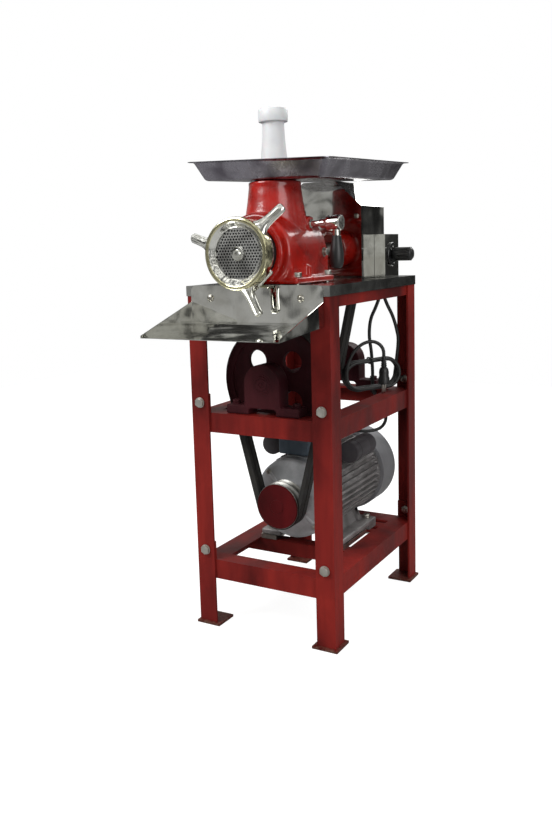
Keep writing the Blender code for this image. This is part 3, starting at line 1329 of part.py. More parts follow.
def build_switch():
    """The switch box beside the guard, with its dial plate, knob and cable glands."""
    low = DECK_Z + GAP
    case = box("switch_box", SWITCH_X, SWITCH_Y, (low, SWITCH_TOP))
    wall = GUARD_T
    inside = box("inside", (SWITCH_X[0] + wall, SWITCH_X[1] - wall),
                 (SWITCH_Y[0] + wall, SWITCH_Y[1] - wall),
                 (low + wall, SWITCH_TOP - wall))  # fmt: skip
    stem_hole = rod("stem_hole", (SWITCH_X[1] - wall - EXTRA, KNOB_Y, KNOB_Z), "+X",
                    wall + 2 * EXTRA, 0.010, 20)  # fmt: skip
    glands = [
        rod("gland", (GLAND_X, y, low + BITE), "-Z", low + BITE - GLAND_END, GLAND_R, 16,
            CORD_R + 0.001)
        for y in (MAINS_GLAND_Y, LEAD_GLAND_Y)
    ]  # fmt: skip
    paint(combine(case, glands, [inside, stem_hole]), MIRROR_STEEL)
    plate_x = SWITCH_X[1] + GAP
    profile = [
        (KNOB_PLATE_R - 0.001, 0.0035), (KNOB_PLATE_R, 0.0025), (KNOB_PLATE_R, 0),
        (0.0070, 0), (0.0070, 0.0035),
    ]  # fmt: skip
    plate = turned("switch_dial_plate", profile, (plate_x, KNOB_Y, KNOB_Z), "+X", 24, closed=True)
    paint(plate, BLACK_PLASTIC)
    knob_from = plate_x + 0.0035 + GAP
    length = KNOB_END - knob_from
    profile = [
        (0, length), (KNOB_R - 0.006, length - 0.001), (KNOB_R - 0.0015, length - 0.005),
        (KNOB_R, length - 0.012), (KNOB_R, 0.012), (KNOB_R - 0.004, 0.007),
        (KNOB_R - 0.004, 0), (0.0062, 0), (0.0062, -0.011), (0, -0.011),
    ]  # fmt: skip
    knob = turned("switch_knob", profile, (knob_from, KNOB_Y, KNOB_Z), "+X", 18)
    return paint(knob, BLACK_PLASTIC)


# ---------------------------------------------------------------- cords
LEAD_IN = (0.015, MOTOR_Z + 0.1125)  # x and z of the gland on the terminal box


def hank_spot(along_way, across=0.0):
    """A point on the hank's top, by its distance along and across the hank."""
    turn = math.radians(HANK_TURN)
    x = HANK_CENTRE[0] + along_way * math.cos(turn) + across * math.sin(turn)
    y = HANK_CENTRE[1] + along_way * math.sin(turn) - across * math.cos(turn)
    return Vector((x, y, SHELF_Z + GAP + HANK_HEIGHT + 2 * GAP))


def corner_spot(x, y, z):
    """A point at a height, by its distances inwards from the rear right leg's outer faces."""
    return Vector((LEG_X - x, LEG_Y - y, z))


def build_cords():
    """The mains cord, its tied hank and plug, and the lead down to the motor."""
    spacing = 5 * CORD_R
    entry = hank_spot(0.028)
    mains = [
        Vector((GLAND_X, MAINS_GLAND_Y, GLAND_END - GAP)),
        Vector((GLAND_X, MAINS_GLAND_Y, GLAND_END - 0.022)),
        corner_spot(0.047, 0.047, GLAND_END - 0.044), corner_spot(0.037, 0.033, GLAND_END - 0.067),
        corner_spot(0.032, 0.025, GLAND_END - 0.092), corner_spot(0.037, 0.036, SHELF_Z + 0.119),
        Vector((entry.x, entry.y, SHELF_Z + 0.089)), entry,
    ]  # fmt: skip
    paint(tube("mains_cord", smooth_path(mains, spacing), CORD_R), RUBBER)
    leaving = hank_spot(-0.030)
    plug_top = SHELF_Z + GAP + PLUG_PIN + PLUG_BODY + PLUG_RELIEF + GAP
    plug_at = Vector((*PLUG_AT, plug_top))
    across = plug_at - leaving
    hump = [leaving, leaving + Vector((0, 0, 0.020))]
    for share, rise in ((0.22, 0.040), (0.5, 0.048), (0.78, 0.040)):
        spot = leaving + across * share
        hump.append(Vector((spot.x, spot.y, leaving.z + rise)))
    hump += [plug_at + Vector((0, 0, 0.022)), plug_at]
    paint(tube("mains_cord_end", smooth_path(hump, spacing), CORD_R), RUBBER)
    radius = HANK_HEIGHT / 2
    reach = HANK_LENGTH / 2 - radius
    loop = arc((reach, 0), radius, -90, 90, 10) + arc((-reach, 0), radius, 90, 270, 10)
    hank = outline("mains_hank", [loop], HANK_T,
                   (*HANK_CENTRE, SHELF_Z + GAP + radius),
                   (math.pi / 2, 0, math.radians(HANK_TURN)))  # fmt: skip
    paint(hank, RUBBER)
    low = SHELF_Z + GAP
    body = low + PLUG_PIN
    profile = [
        (0, body + PLUG_BODY + PLUG_RELIEF), (CORD_R + 0.001, body + PLUG_BODY + PLUG_RELIEF),
        (CORD_R + 0.0025, body + PLUG_BODY), (PLUG_R - 0.002, body + PLUG_BODY - 0.004),
        (PLUG_R, body + 0.012), (PLUG_R, body), (0, body),
    ]  # fmt: skip
    plug = turned("mains_plug", profile, (*PLUG_AT, 0), "+Z", 20)
    pins = [
        rod("pin", (PLUG_AT[0], PLUG_AT[1] + side * 0.006, low), "+Z", PLUG_PIN + BITE, 0.0024, 10)
        for side in (-1, 1)
    ]
    paint(combine(plug, pins), BLACK_PLASTIC)
    lead = [
        Vector((GLAND_X, LEAD_GLAND_Y, GLAND_END - GAP)),
        Vector((GLAND_X, LEAD_GLAND_Y, GLAND_END - 0.022)),
        corner_spot(0.062, 0.074, GLAND_END - 0.049), corner_spot(0.076, 0.071, GLAND_END - 0.078),
        corner_spot(0.082, 0.066, GLAND_END - 0.114), corner_spot(0.080, 0.060, SHELF_Z + 0.083),
        corner_spot(0.079, 0.057, SHELF_Z + 0.043), corner_spot(0.079, 0.056, SHELF_Z + 0.003),
        corner_spot(0.072, 0.048, SHELF_Z - 0.022), corner_spot(0.060, 0.039, SHELF_Z - 0.047),
        corner_spot(0.058, 0.033, LEAD_IN[1] + 0.011), corner_spot(0.070, 0.035, LEAD_IN[1] - 0.009),
        corner_spot(0.090, 0.051, LEAD_IN[1] - 0.015), corner_spot(0.110, 0.079, LEAD_IN[1] - 0.011),
        Vector((0.028, BOX_BACK + 0.080, LEAD_IN[1] - 0.005)),
        Vector((0.017, BOX_BACK + 0.044, LEAD_IN[1] - 0.0005)),
        Vector((LEAD_IN[0], BOX_BACK + 0.022, LEAD_IN[1])),
        Vector((LEAD_IN[0], BOX_BACK + 0.012 + GAP, LEAD_IN[1])),
    ]  # fmt: skip
    paint(tube("motor_lead", smooth_path(lead, spacing), CORD_R), RUBBER)


# ---------------------------------------------------------------- whole machine
def move_origin():
    """Put the origin on the floor under the middle of the machine."""
    left = -max(LEG_X + FOOT_PROUD, DECK_X, PAN_RIM[0])
    right = KNOB_END
    front = -TRAY_FRONT_Y - TRAY_DEPTH
    middle = Vector(((left + right) / 2, (front + COWL_BACK) / 2, 0))
    for obj in bpy.data.objects:
        if obj.parent is None:
            obj.location = Vector(obj.location) - middle


def build_all():
    """Model every piece, and hang the moving ones on their pivots."""
    for row, side_y in (("front", -1), ("rear", 1)):
        for hand, side_x in (("left", -1), ("right", 1)):
            build_leg(f"leg_{row}_{hand}", side_x, side_y)
    build_top_frame()
    build_shelf_frame()
    build_bottom_frame()
    build_leg_bolts()
    build_deck()
    build_tray()
    build_tray_screws()
    build_body()
    build_barrel()
    build_plate()
    build_clamp()
    build_guard()
    build_bearing_blocks()
    build_motor_frame()
    build_motor_ends()
    build_motor_fittings()
    build_cords()
    pivot("ring_nut_pivot", along(RING_FRONT), [build_ring_nut()])
    pivot("lock_ring_pivot", along(LOCK_RING_FRONT), [build_lock_ring()])
    pivot("pusher_slide", along(THROAT_FRONT, PUSHER_TOP), [build_pusher()])
    pivot("pan_slide", along(THROAT_FRONT, PAN_Z), [build_pan()])
    pivot("knob_pivot", (SWITCH_X[1], KNOB_Y, KNOB_Z), [build_switch()])
    top_pulley = webbed_pulley(
        "top_pulley", TOP_PULLEY_R, SHAFT_R, UPPER_Y, HEAD_Z, STEEL, 0, 0.032, 0
    )
    pivot("drive_pivot", along(0), [build_knife(), build_auger(), build_drive_shaft(), top_pulley])
    big = webbed_pulley(
        "big_pulley", BIG_PULLEY_R, COUNTER_R, LOWER_Y, COUNTER_Z, MAROON, 0.004, 0.026, 4
    )
    small = plain_pulley(
        "small_pulley", SMALL_PULLEY_R, COUNTER_R, UPPER_Y, COUNTER_Z, MAROON, 20
    )
    pivot("counter_pivot", (0, 0, COUNTER_Z), [build_countershaft(), big, small])
    motor_pulley = plain_pulley(
        "motor_pulley", MOTOR_PULLEY_R, MOTOR_SHAFT_R, LOWER_Y, MOTOR_Z, MAROON, 24
    )
    pivot("motor_pivot", (0, 0, MOTOR_Z), [build_rotor(), motor_pulley])
    build_belts("lower", LOWER_Y, MOTOR_Z, COUNTER_Z, MOTOR_PULLEY_R, BIG_PULLEY_R)
    build_belts("upper", UPPER_Y, COUNTER_Z, HEAD_Z, SMALL_PULLEY_R, TOP_PULLEY_R)
    move_origin()


build_all()
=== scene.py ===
"""Looks for the belt-driven meat grinder: every visible piece, its finish, the studio and the camera.

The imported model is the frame. Sub-assemblies are classes: a dataclass holds a sub-assembly's sizes, build()
models its pieces and dress() gives what stays of the frame its finish. Positions are in metres from the
middle of the stand, and Frame.at() turns them into the row frame.
"""

from __future__ import annotations

import contextlib
import logging
import math
from collections.abc import Callable, Iterator, Sequence
from dataclasses import dataclass, field
from enum import Enum
from typing import Any

import bmesh
import bpy
from mathutils import Matrix, Vector


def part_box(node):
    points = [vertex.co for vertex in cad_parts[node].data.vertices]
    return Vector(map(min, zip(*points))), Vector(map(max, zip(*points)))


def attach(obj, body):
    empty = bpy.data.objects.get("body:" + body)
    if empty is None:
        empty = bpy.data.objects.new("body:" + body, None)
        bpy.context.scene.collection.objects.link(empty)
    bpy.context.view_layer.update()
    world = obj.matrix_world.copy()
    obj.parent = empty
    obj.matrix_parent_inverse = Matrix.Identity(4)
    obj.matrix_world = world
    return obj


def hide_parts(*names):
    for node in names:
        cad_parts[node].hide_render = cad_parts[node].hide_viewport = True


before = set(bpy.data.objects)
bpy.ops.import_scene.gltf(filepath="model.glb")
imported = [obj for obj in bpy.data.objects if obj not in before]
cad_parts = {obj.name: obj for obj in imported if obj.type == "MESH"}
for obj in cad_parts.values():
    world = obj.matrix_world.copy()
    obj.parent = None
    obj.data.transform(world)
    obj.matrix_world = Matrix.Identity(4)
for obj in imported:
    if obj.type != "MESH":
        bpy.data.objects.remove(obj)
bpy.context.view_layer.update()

log = logging.getLogger("meat_grinder")
Point = tuple[float, float, float]
Profile = Sequence[tuple[float, float]]

SMOOTH_ANGLE = math.radians(32)
TINY = 1e-6
HANDS = (("left", -1), ("right", 1))


class Body(Enum):
    """The bodies of the frame that pieces ride on."""

    STAND = "stand"
    MOTOR = "motor_rotor"
    COUNTERSHAFT = "countershaft"
    DRIVE = "grinding_drive"
    RING_NUT = "ring_nut"
    LOCK_RING = "lock_ring"
    CLAMP = "clamp_lever"
    KNOB = "switch_knob"
    PUSHER = "pusher"
    PAN = "feed_pan"


class Axis(Enum):
    """Directions that a turned piece can face: Euler angles that turn +Z there."""

    RIGHT = (0.0, math.pi / 2, 0.0)
    BACK = (-math.pi / 2, 0.0, 0.0)
    FRONT = (math.pi / 2, 0.0, 0.0)
    UP = (0.0, 0.0, 0.0)
    DOWN = (math.pi, 0.0, 0.0)


class Bolt(Enum):
    """Bolt sizes: across flats, height of the head, and the washer's radius and thickness."""

    LEG = (0.017, 0.0046, 0.0105, 0.0018)
    BASE = (0.016, 0.0070, 0.0100, 0.0016)
    SIDE = (0.013, 0.0060, 0.0090, 0.0020)
    FOOT = (0.014, 0.0062, 0.0090, 0.0016)
    SHIELD = (0.009, 0.0042, 0.0066, 0.0010)


class Frame:
    """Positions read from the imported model."""

    def __init__(self) -> None:
        low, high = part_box("deck_sheet")
        self.middle = Vector(((low[0] + high[0]) / 2, (low[1] + high[1]) / 2, 0.0))

    def at(self, x: float, y: float, z: float) -> Vector:
        """Turn a place in the stand into one in the row frame.

        Args:
            x: Distance to the right of the stand's middle.
            y: Distance behind the stand's middle.
            z: Height above the floor.

        Returns:
            The same place in the row frame.
        """
        return self.middle + Vector((x, y, z))


def outward(turn: float) -> Vector:
    """The direction away from a lengthwise axis, by its angle from the right."""
    return Vector((math.cos(turn), 0, math.sin(turn)))


def upright_frame(x: Vector, z: Vector, place: Vector) -> Matrix:
    """A frame of its own for a piece, from its X and Z directions and its origin."""
    matrix = Matrix((x, z.cross(x), z)).transposed().to_4x4()
    matrix.translation = place
    return matrix


# ---------------------------------------------------------------- modelling
@contextlib.contextmanager
def editing(obj: bpy.types.Object, mode: str = "VERT") -> Iterator[None]:
    """Work on one object in edit mode, with all of it selected.

    Args:
        obj: The mesh object.
        mode: The selection mode: VERT, EDGE or FACE.
    """
    Bench.only(obj)
    bpy.ops.object.mode_set(mode="EDIT")
    bpy.ops.mesh.select_mode(type=mode)
    bpy.ops.mesh.select_all(action="SELECT")
    yield
    bpy.ops.object.mode_set(mode="OBJECT")


class Bench:
    """Modelling steps, each in Blender's own operators."""

    @staticmethod
    def only(*objs: bpy.types.Object) -> None:
        """Select these objects and nothing else. The first becomes active."""
        bpy.ops.object.select_all(action="DESELECT")
        for obj in objs:
            obj.select_set(True)
        bpy.context.view_layer.objects.active = objs[0]

    @staticmethod
    def taken(name: str) -> bpy.types.Object:
        """Name the object that an operator has just added.

        Args:
            name: Its name.

        Returns:
            The object.
        """
        obj = bpy.context.object
        obj.name = name
        obj.data.name = name
        return obj

    @staticmethod
    def settle(obj: bpy.types.Object) -> bpy.types.Object:
        """Put an object's place into its mesh, so that the object sits at the origin."""
        Bench.only(obj)
        bpy.ops.object.transform_apply(location=True, rotation=True, scale=True)
        return obj

    @staticmethod
    def select_open() -> None:
        """Select the open edges of the mesh that is in edit mode."""
        bpy.ops.mesh.select_all(action="DESELECT")
        bpy.ops.mesh.select_mode(type="EDGE")
        bpy.ops.mesh.select_non_manifold()

    @staticmethod
    def face_out() -> None:
        """Turn the faces of the mesh that is in edit mode outwards."""
        bpy.ops.mesh.select_all(action="SELECT")
        bpy.ops.mesh.normals_make_consistent(inside=False)

    @staticmethod
    def smooth(obj: bpy.types.Object) -> bpy.types.Object:
        """Shade round sides smooth and keep edges sharp."""
        Bench.only(obj)
        bpy.ops.object.shade_smooth_by_angle(angle=SMOOTH_ANGLE)
        return obj

    @staticmethod
    def apply(obj: bpy.types.Object, kind: str, **settings: Any) -> bpy.types.Object:
        """Add a modifier and apply it.

        Args:
            obj: The mesh object.
            kind: The modifier's type.
            **settings: Its settings.

        Returns:
            The object.
        """
        Bench.only(obj)
        modifier = obj.modifiers.new(kind.lower(), kind)
        for key, value in settings.items():
            setattr(modifier, key, value)
        bpy.ops.object.modifier_apply(modifier=modifier.name)
        return obj

    @staticmethod
    def bevel(obj: bpy.types.Object, width: float, segments: int = 3,
              angle: float = 32.0) -> bpy.types.Object:
        """Round the edges that are sharper than an angle in degrees."""
        Bench.apply(
            obj, "BEVEL", width=width, segments=segments, limit_method="ANGLE",
            angle_limit=math.radians(angle), use_clamp_overlap=True, harden_normals=False,
        )
        return obj

    @staticmethod
    def combine(obj: bpy.types.Object, tools: Sequence[bpy.types.Object], operation: str) -> bpy.types.Object:
        """Union or cut with other objects, which are used up.

        Args:
            obj: The piece.
            tools: The objects to add or to cut with, none of which may touch another in a cut.
            operation: UNION or DIFFERENCE.

        Returns:
            The piece.
        """
        for tool in tools:
            Bench.apply(obj, "BOOLEAN", operation=operation, solver="EXACT", object=tool)
            bpy.data.objects.remove(tool, do_unlink=True)
        return obj

    @staticmethod
    def join(name: str, pieces: Sequence[bpy.types.Object]) -> bpy.types.Object:
        """Make several objects one, with their meshes as they are."""
        Bench.only(*pieces)
        if len(pieces) > 1:
            bpy.ops.object.join()
        return Bench.taken(name)

    @staticmethod
    def block(name: str, x: tuple[float, float], y: tuple[float, float], z: tuple[float, float],
              where: Frame) -> bpy.types.Object:
        """A block between limits in the stand, to be shaped further."""
        low = where.at(x[0], y[0], z[0])
        high = where.at(x[1], y[1], z[1])
        bpy.ops.mesh.primitive_cube_add(size=1.0, location=(low + high) / 2)
        obj = Bench.taken(name)
        obj.scale = high - low
        return Bench.settle(obj)

    @staticmethod
    def wire(name: str, points: Sequence[Vector], radius: float, steps: int = 4,
             closed: bool = False) -> bpy.types.Object:
        """A round wire or cord along points, as one curve.

        Args:
            name: The piece's name.
            points: Its centre line.
            radius: Its radius.
            steps: How round its section is.
            closed: Whether the last point joins the first.

        Returns:
            The curve object.
        """
        bpy.ops.curve.primitive_nurbs_path_add(location=(0, 0, 0))
        obj = Bench.taken(name)
        curve = obj.data
        curve.splines.clear()
        spline = curve.splines.new("POLY")
        spline.points.add(len(points) - 1)
        for point, at in zip(spline.points, points):
            point.co = (*at, 1.0)
        spline.use_cyclic_u = closed
        spline.use_smooth = True
        curve.bevel_depth = radius
        curve.bevel_resolution = steps
        curve.use_fill_caps = not closed
        return obj

    @staticmethod
    def slab(name: str, place: Matrix, size: Point) -> bpy.types.Object:
        """A block about the origin of a frame of its own, to be shaped or joined further."""
        bpy.ops.mesh.primitive_cube_add(size=1.0)
        obj = Bench.taken(name)
        obj.matrix_world = place @ Matrix.Diagonal((*size, 1))
        return Bench.settle(obj)

    @staticmethod
    def drum(name: str, radius: float, ends: tuple[float, float], centre: Vector, axis: Axis = Axis.UP,
             sides: int = 96) -> bpy.types.Object:
        """A plain round bar between two places on its axis, to be shaped or to cut with."""
        profile = [(0, ends[0]), (radius, ends[0]), (radius, ends[1]), (0, ends[1])]
        return Bench.rings(name, profile, centre, axis, sides)

    @staticmethod
    def rings(name: str, profile: Profile, centre: Vector, axis: Axis = Axis.UP, sides: int = 96,
              closed: bool = False) -> bpy.types.Object:
        """A turned piece: a circle that is extruded and scaled from one ring to the next.

        Args:
            name: The piece's name.
            profile: (radius, distance along the axis) of each ring. A radius of 0 closes the end.
            centre: Where the axis starts, in the row frame.
            axis: Which way the axis points.
            sides: Corners of the circle.
            closed: Whether the last ring joins the first, as on a ring or a sleeve.

        Returns:
            The piece, at the origin.
        """
        rows = [(max(radius, TINY), height) for radius, height in profile]
        radius, height = rows[0]
        bpy.ops.mesh.primitive_circle_add(vertices=sides, radius=radius, location=(0, 0, height))
        obj = Bench.taken(name)
        with editing(obj):
            for next_radius, next_height in rows[1:]:
                bpy.ops.mesh.extrude_region_move(
                    TRANSFORM_OT_translate={"value": (0, 0, next_height - height)}
                )
                share = next_radius / radius
                bpy.ops.transform.resize(value=(share, share, 1), center_override=(0, 0, next_height))
                radius, height = next_radius, next_height
            if closed:
                Bench.select_open()
                bpy.ops.mesh.bridge_edge_loops()
            bpy.ops.mesh.select_all(action="SELECT")
            bpy.ops.mesh.remove_doubles(threshold=TINY * 8)
            if not closed:
                Bench.select_open()
                if any(edge.select for edge in bmesh.from_edit_mesh(obj.data).edges):
                    bpy.ops.mesh.fill_holes(sides=0)
            Bench.face_out()
        Bench.turn_about(obj, centre, axis, rows[0][1])
        return Bench.settle(obj)

    @staticmethod
    def turn_about(obj: bpy.types.Object, centre: Vector, axis: Axis, start: float) -> None:
        """Place an object whose origin lies at a distance along its axis."""
        way = Vector((0, 0, start))
        obj.rotation_euler = axis.value
        way.rotate(obj.rotation_euler)
        obj.location = centre + way

    @staticmethod
    def rod(name: str, start: Vector, end: Vector, radii: tuple[float, float],
            sides: int = 32) -> bpy.types.Object:
        """A straight or tapered rod between two places, to be shaped or joined further."""
        way = end - start
        bpy.ops.mesh.primitive_cone_add(
            vertices=sides, radius1=radii[0], radius2=radii[1], depth=way.length,
            location=(start + end) / 2, rotation=way.to_track_quat("Z", "Y").to_euler(),
        )
        return Bench.settle(Bench.taken(name))

    @staticmethod
    def cast(obj: bpy.types.Object, voxel: float, passes: int) -> bpy.types.Object:
        """Give a rough union the soft fillets of a casting.

        Args:
            obj: A closed mesh.
            voxel: The size of the new faces.
            passes: How far its corners are rounded.

        Returns:
            The piece.
        """
        Bench.apply(obj, "REMESH", mode="VOXEL", voxel_size=voxel, use_smooth_shade=True)
        Bench.apply(obj, "SMOOTH", factor=0.5, iterations=passes)
        Bench.only(obj)
        bpy.ops.object.shade_smooth()
        return obj

    @staticmethod
    def bolt(name: str, place: Vector, axis: Axis, size: Bolt, grip: float = 0.0,
             shank: float = 0.0048) -> bpy.types.Object:
        """A hexagon bolt: chamfered head, washer, shank and, with a grip, a nut on the far side.

        Args:
            name: The piece's name.
            place: Where the washer bears.
            axis: Which way the head points.
            size: Which size it is.
            grip: What is clamped. With 0 there is no nut.
            shank: The shank's radius.

        Returns:
            The piece.
        """
        flats, head, washer_r, low = size.value
        radius = flats / math.sqrt(3)
        crown = Bench.rings(name, [(0, low), (radius, low), (radius, low + head * 0.84),
                                   (radius * 0.90, low + head), (0, low + head)], place, axis, 6)
        Bench.bevel(crown, 0.0005, 2, 20)
        ring = Bench.drum(name + "_washer", washer_r, (0, low), place, axis, 40)
        Bench.bevel(ring, 0.0003, 2)
        made = [crown, ring]
        if grip:
            end = -grip - 0.0112
            made.append(Bench.rings(name + "_shank", [(0, 0.0002), (shank, 0.0002), (shank, end + 0.0008),
                                                      (shank - 0.0008, end), (0, end)],
                                    place, axis, 24))
            nut = Bench.drum(name + "_nut", radius, (-grip, -grip - 0.0078), place, axis, 6)
            made.append(Bench.bevel(nut, 0.0006, 2, 20))
        return Bench.smooth(Bench.join(name, made))

    @staticmethod
    def copy(obj: bpy.types.Object, name: str, shift: Vector, turn: float = 0.0) -> bpy.types.Object:
        """Copy a piece with a mesh of its own.

        Args:
            obj: The piece to copy.
            name: The copy's name.
            shift: How far it is moved.
            turn: Degrees it is first turned about the vertical through the origin.

        Returns:
            The copy.
        """
        made = obj.copy()
        made.data = obj.data.copy()
        made.name = name
        made.data.name = name
        bpy.context.scene.collection.objects.link(made)
        made.rotation_euler = (0, 0, math.radians(turn))
        made.location = shift
        return Bench.settle(made)

    @staticmethod
    def limb(name: str, stations: Sequence[tuple[float, float, float, float]], place: Matrix,
             sides: int = 28) -> bpy.types.Object:
        """A tapering limb: an oval that is extruded, shifted and scaled from station to station.

        Args:
            name: The piece's name.
            stations: (half width, half depth, shift along the width, height) of each oval.
            place: The limb's frame: width along X, depth along Y and length along Z.
            sides: Corners of the oval.

        Returns:
            The piece.
        """
        wide, deep, shift, height = stations[0]
        bpy.ops.mesh.primitive_circle_add(vertices=sides, radius=1.0)
        obj = Bench.taken(name)
        with editing(obj):
            bpy.ops.transform.resize(value=(wide, deep, 1), center_override=(0, 0, 0))
            bpy.ops.transform.translate(value=(shift, 0, height))
            for w, d, x, z in stations[1:]:
                bpy.ops.mesh.extrude_region_move(TRANSFORM_OT_translate={"value": (x - shift, 0, z - height)})
                bpy.ops.transform.resize(value=(w / wide, d / deep, 1), center_override=(x, 0, z))
                wide, deep, shift, height = w, d, x, z
            Bench.select_open()
            bpy.ops.mesh.fill_holes(sides=0)
            Bench.face_out()
        obj.matrix_world = place
        return Bench.settle(obj)

    @staticmethod
    def fluted(name: str, radii: tuple[float, float], flutes: int, ends: tuple[float, float], centre: Vector,
               axis: Axis, share: tuple[float, float] = (0.38, 0.52)) -> bpy.types.Object:
        """A fluted or finned bar: a circle whose corners are drawn out in groups, extruded.

        Args:
            name: The piece's name.
            radii: The radius in the flutes and on the ridges.
            flutes: How many.
            ends: Where it starts and ends along its axis.
            centre: Where the axis starts.
            axis: Which way the axis points.
            share: How wide a ridge is at its top, as a share of the pitch. Its second value, for the root, is
                not used.

        Returns:
            The piece.
        """
        bpy.ops.mesh.primitive_circle_add(vertices=flutes * 12, radius=radii[0], location=(0, 0, ends[0]))
        obj = Bench.taken(name)
        with editing(obj):
            bpy.ops.mesh.select_all(action="DESELECT")
            mesh = bmesh.from_edit_mesh(obj.data)
            for corner in mesh.verts:
                turn = math.atan2(corner.co.y, corner.co.x) / math.tau * flutes % 1.0
                corner.select = abs(turn - 0.5) <= share[0] / 2 + 0.01
            mesh.select_flush_mode()
            bmesh.update_edit_mesh(obj.data)
            grow = radii[1] / radii[0]
            bpy.ops.transform.resize(value=(grow, grow, 1), center_override=(0, 0, ends[0]))
            bpy.ops.mesh.select_all(action="SELECT")
            bpy.ops.mesh.extrude_region_move(TRANSFORM_OT_translate={"value": (0, 0, ends[1] - ends[0])})
            Bench.select_open()
            bpy.ops.mesh.fill_holes(sides=0)
            Bench.face_out()
        Bench.turn_about(obj, centre, axis, ends[0])
        return Bench.settle(obj)


# ---------------------------------------------------------------- finishes
def linear(code: str) -> tuple[float, float, float, float]:
    """Turn an sRGB hex colour into the linear one that a shader takes.

    Args:
        code: Such as "#8c231b".

    Returns:
        Red, green, blue and 1.
    """
    parts = [int(code[i : i + 2], 16) / 255 for i in (1, 3, 5)]
    turned = [c / 12.92 if c <= 0.04045 else ((c + 0.055) / 1.055) ** 2.4 for c in parts]
    return (*turned, 1.0)


class Nodes:
    """A node tree, whose nodes are added one by one with their settings and links."""

    def __init__(self, owner: bpy.types.Material | bpy.types.World) -> None:
        owner.use_nodes = True
        self.nodes = owner.node_tree.nodes
        self.links = owner.node_tree.links

    def add(self, kind: str, settings: dict[str, Any] | None = None,
            inputs: dict[str | int, Any] | None = None) -> bpy.types.Node:
        """Add a node.

        Args:
            kind: The node's type.
            settings: Its own settings, by name.
            inputs: Its sockets by name or number: a value, or the output that feeds it.

        Returns:
            The node.
        """
        node = self.nodes.new(kind)
        for key, value in (settings or {}).items():
            setattr(node, key, value)
        for key, value in (inputs or {}).items():
            self.feed(node.inputs[key], value)
        return node

    def feed(self, socket: bpy.types.NodeSocket, value: Any) -> None:
        """Set a socket or link it."""
        if isinstance(value, bpy.types.NodeSocket):
            self.links.new(value, socket)
        else:
            socket.default_value = value

    def ramp(self, value: bpy.types.NodeSocket, stops: Sequence[tuple[float, str | float]],
             blue: float = 1.0) -> bpy.types.NodeSocket:
        """Turn a value into colours or greys at stops from 0 to 1, with a share of blue in the greys."""
        node = self.add("ShaderNodeValToRGB", None, {"Fac": value})
        band = node.color_ramp
        while len(band.elements) < len(stops):
            band.elements.new(0.5)
        for element, (place, colour) in zip(band.elements, stops):
            element.position = place
            grey = not isinstance(colour, str)
            element.color = (colour, colour, colour * blue, 1.0) if grey else linear(colour)
        return node.outputs["Color"]

    def blend(self, share: Any, first: Any, second: Any, kind: str = "MIX") -> bpy.types.NodeSocket:
        """Mix two colours."""
        settings = {"data_type": "RGBA", "blend_type": kind}
        return self.add("ShaderNodeMix", settings, {0: share, 6: first, 7: second}).outputs[2]


class Tree(Nodes):
    """A material's nodes, with patterns on object coordinates."""

    def __init__(self, name: str) -> None:
        self.material = bpy.data.materials.new(name)
        super().__init__(self.material)
        self.shader = self.nodes["Principled BSDF"]
        self.place = self.add("ShaderNodeTexCoord").outputs["Object"]

    def noise(self, size: float, detail: float = 3.0, stretch: Point = (1.0, 1.0, 1.0),
              distortion: float = 0.0) -> bpy.types.NodeSocket:
        """Noise whose grains are about this many metres across, stretched along an axis if asked."""
        mapped = self.add("ShaderNodeMapping", None, {"Vector": self.place, "Scale": stretch})
        made = self.add(
            "ShaderNodeTexNoise", None,
            {"Vector": mapped.outputs[0], "Scale": 1.0 / size, "Detail": detail, "Distortion": distortion},
        )
        return made.outputs["Fac"]

    def bump(self, height: bpy.types.NodeSocket, depth: float, strength: float = 1.0,
             under: bpy.types.NodeSocket | None = None) -> bpy.types.NodeSocket:
        """Relief of a height map, depth metres deep."""
        inputs = {"Height": height, "Distance": depth, "Strength": strength}
        if under is not None:
            inputs["Normal"] = under
        return self.add("ShaderNodeBump", None, inputs).outputs["Normal"]

    def surface(self, **sockets: Any) -> bpy.types.Material:
        """Feed the shader. Underscores in names stand for spaces.

        Returns:
            The finished material.
        """
        for key, value in sockets.items():
            self.feed(self.shader.inputs[key.replace("_", " ")], value)
        return self.material


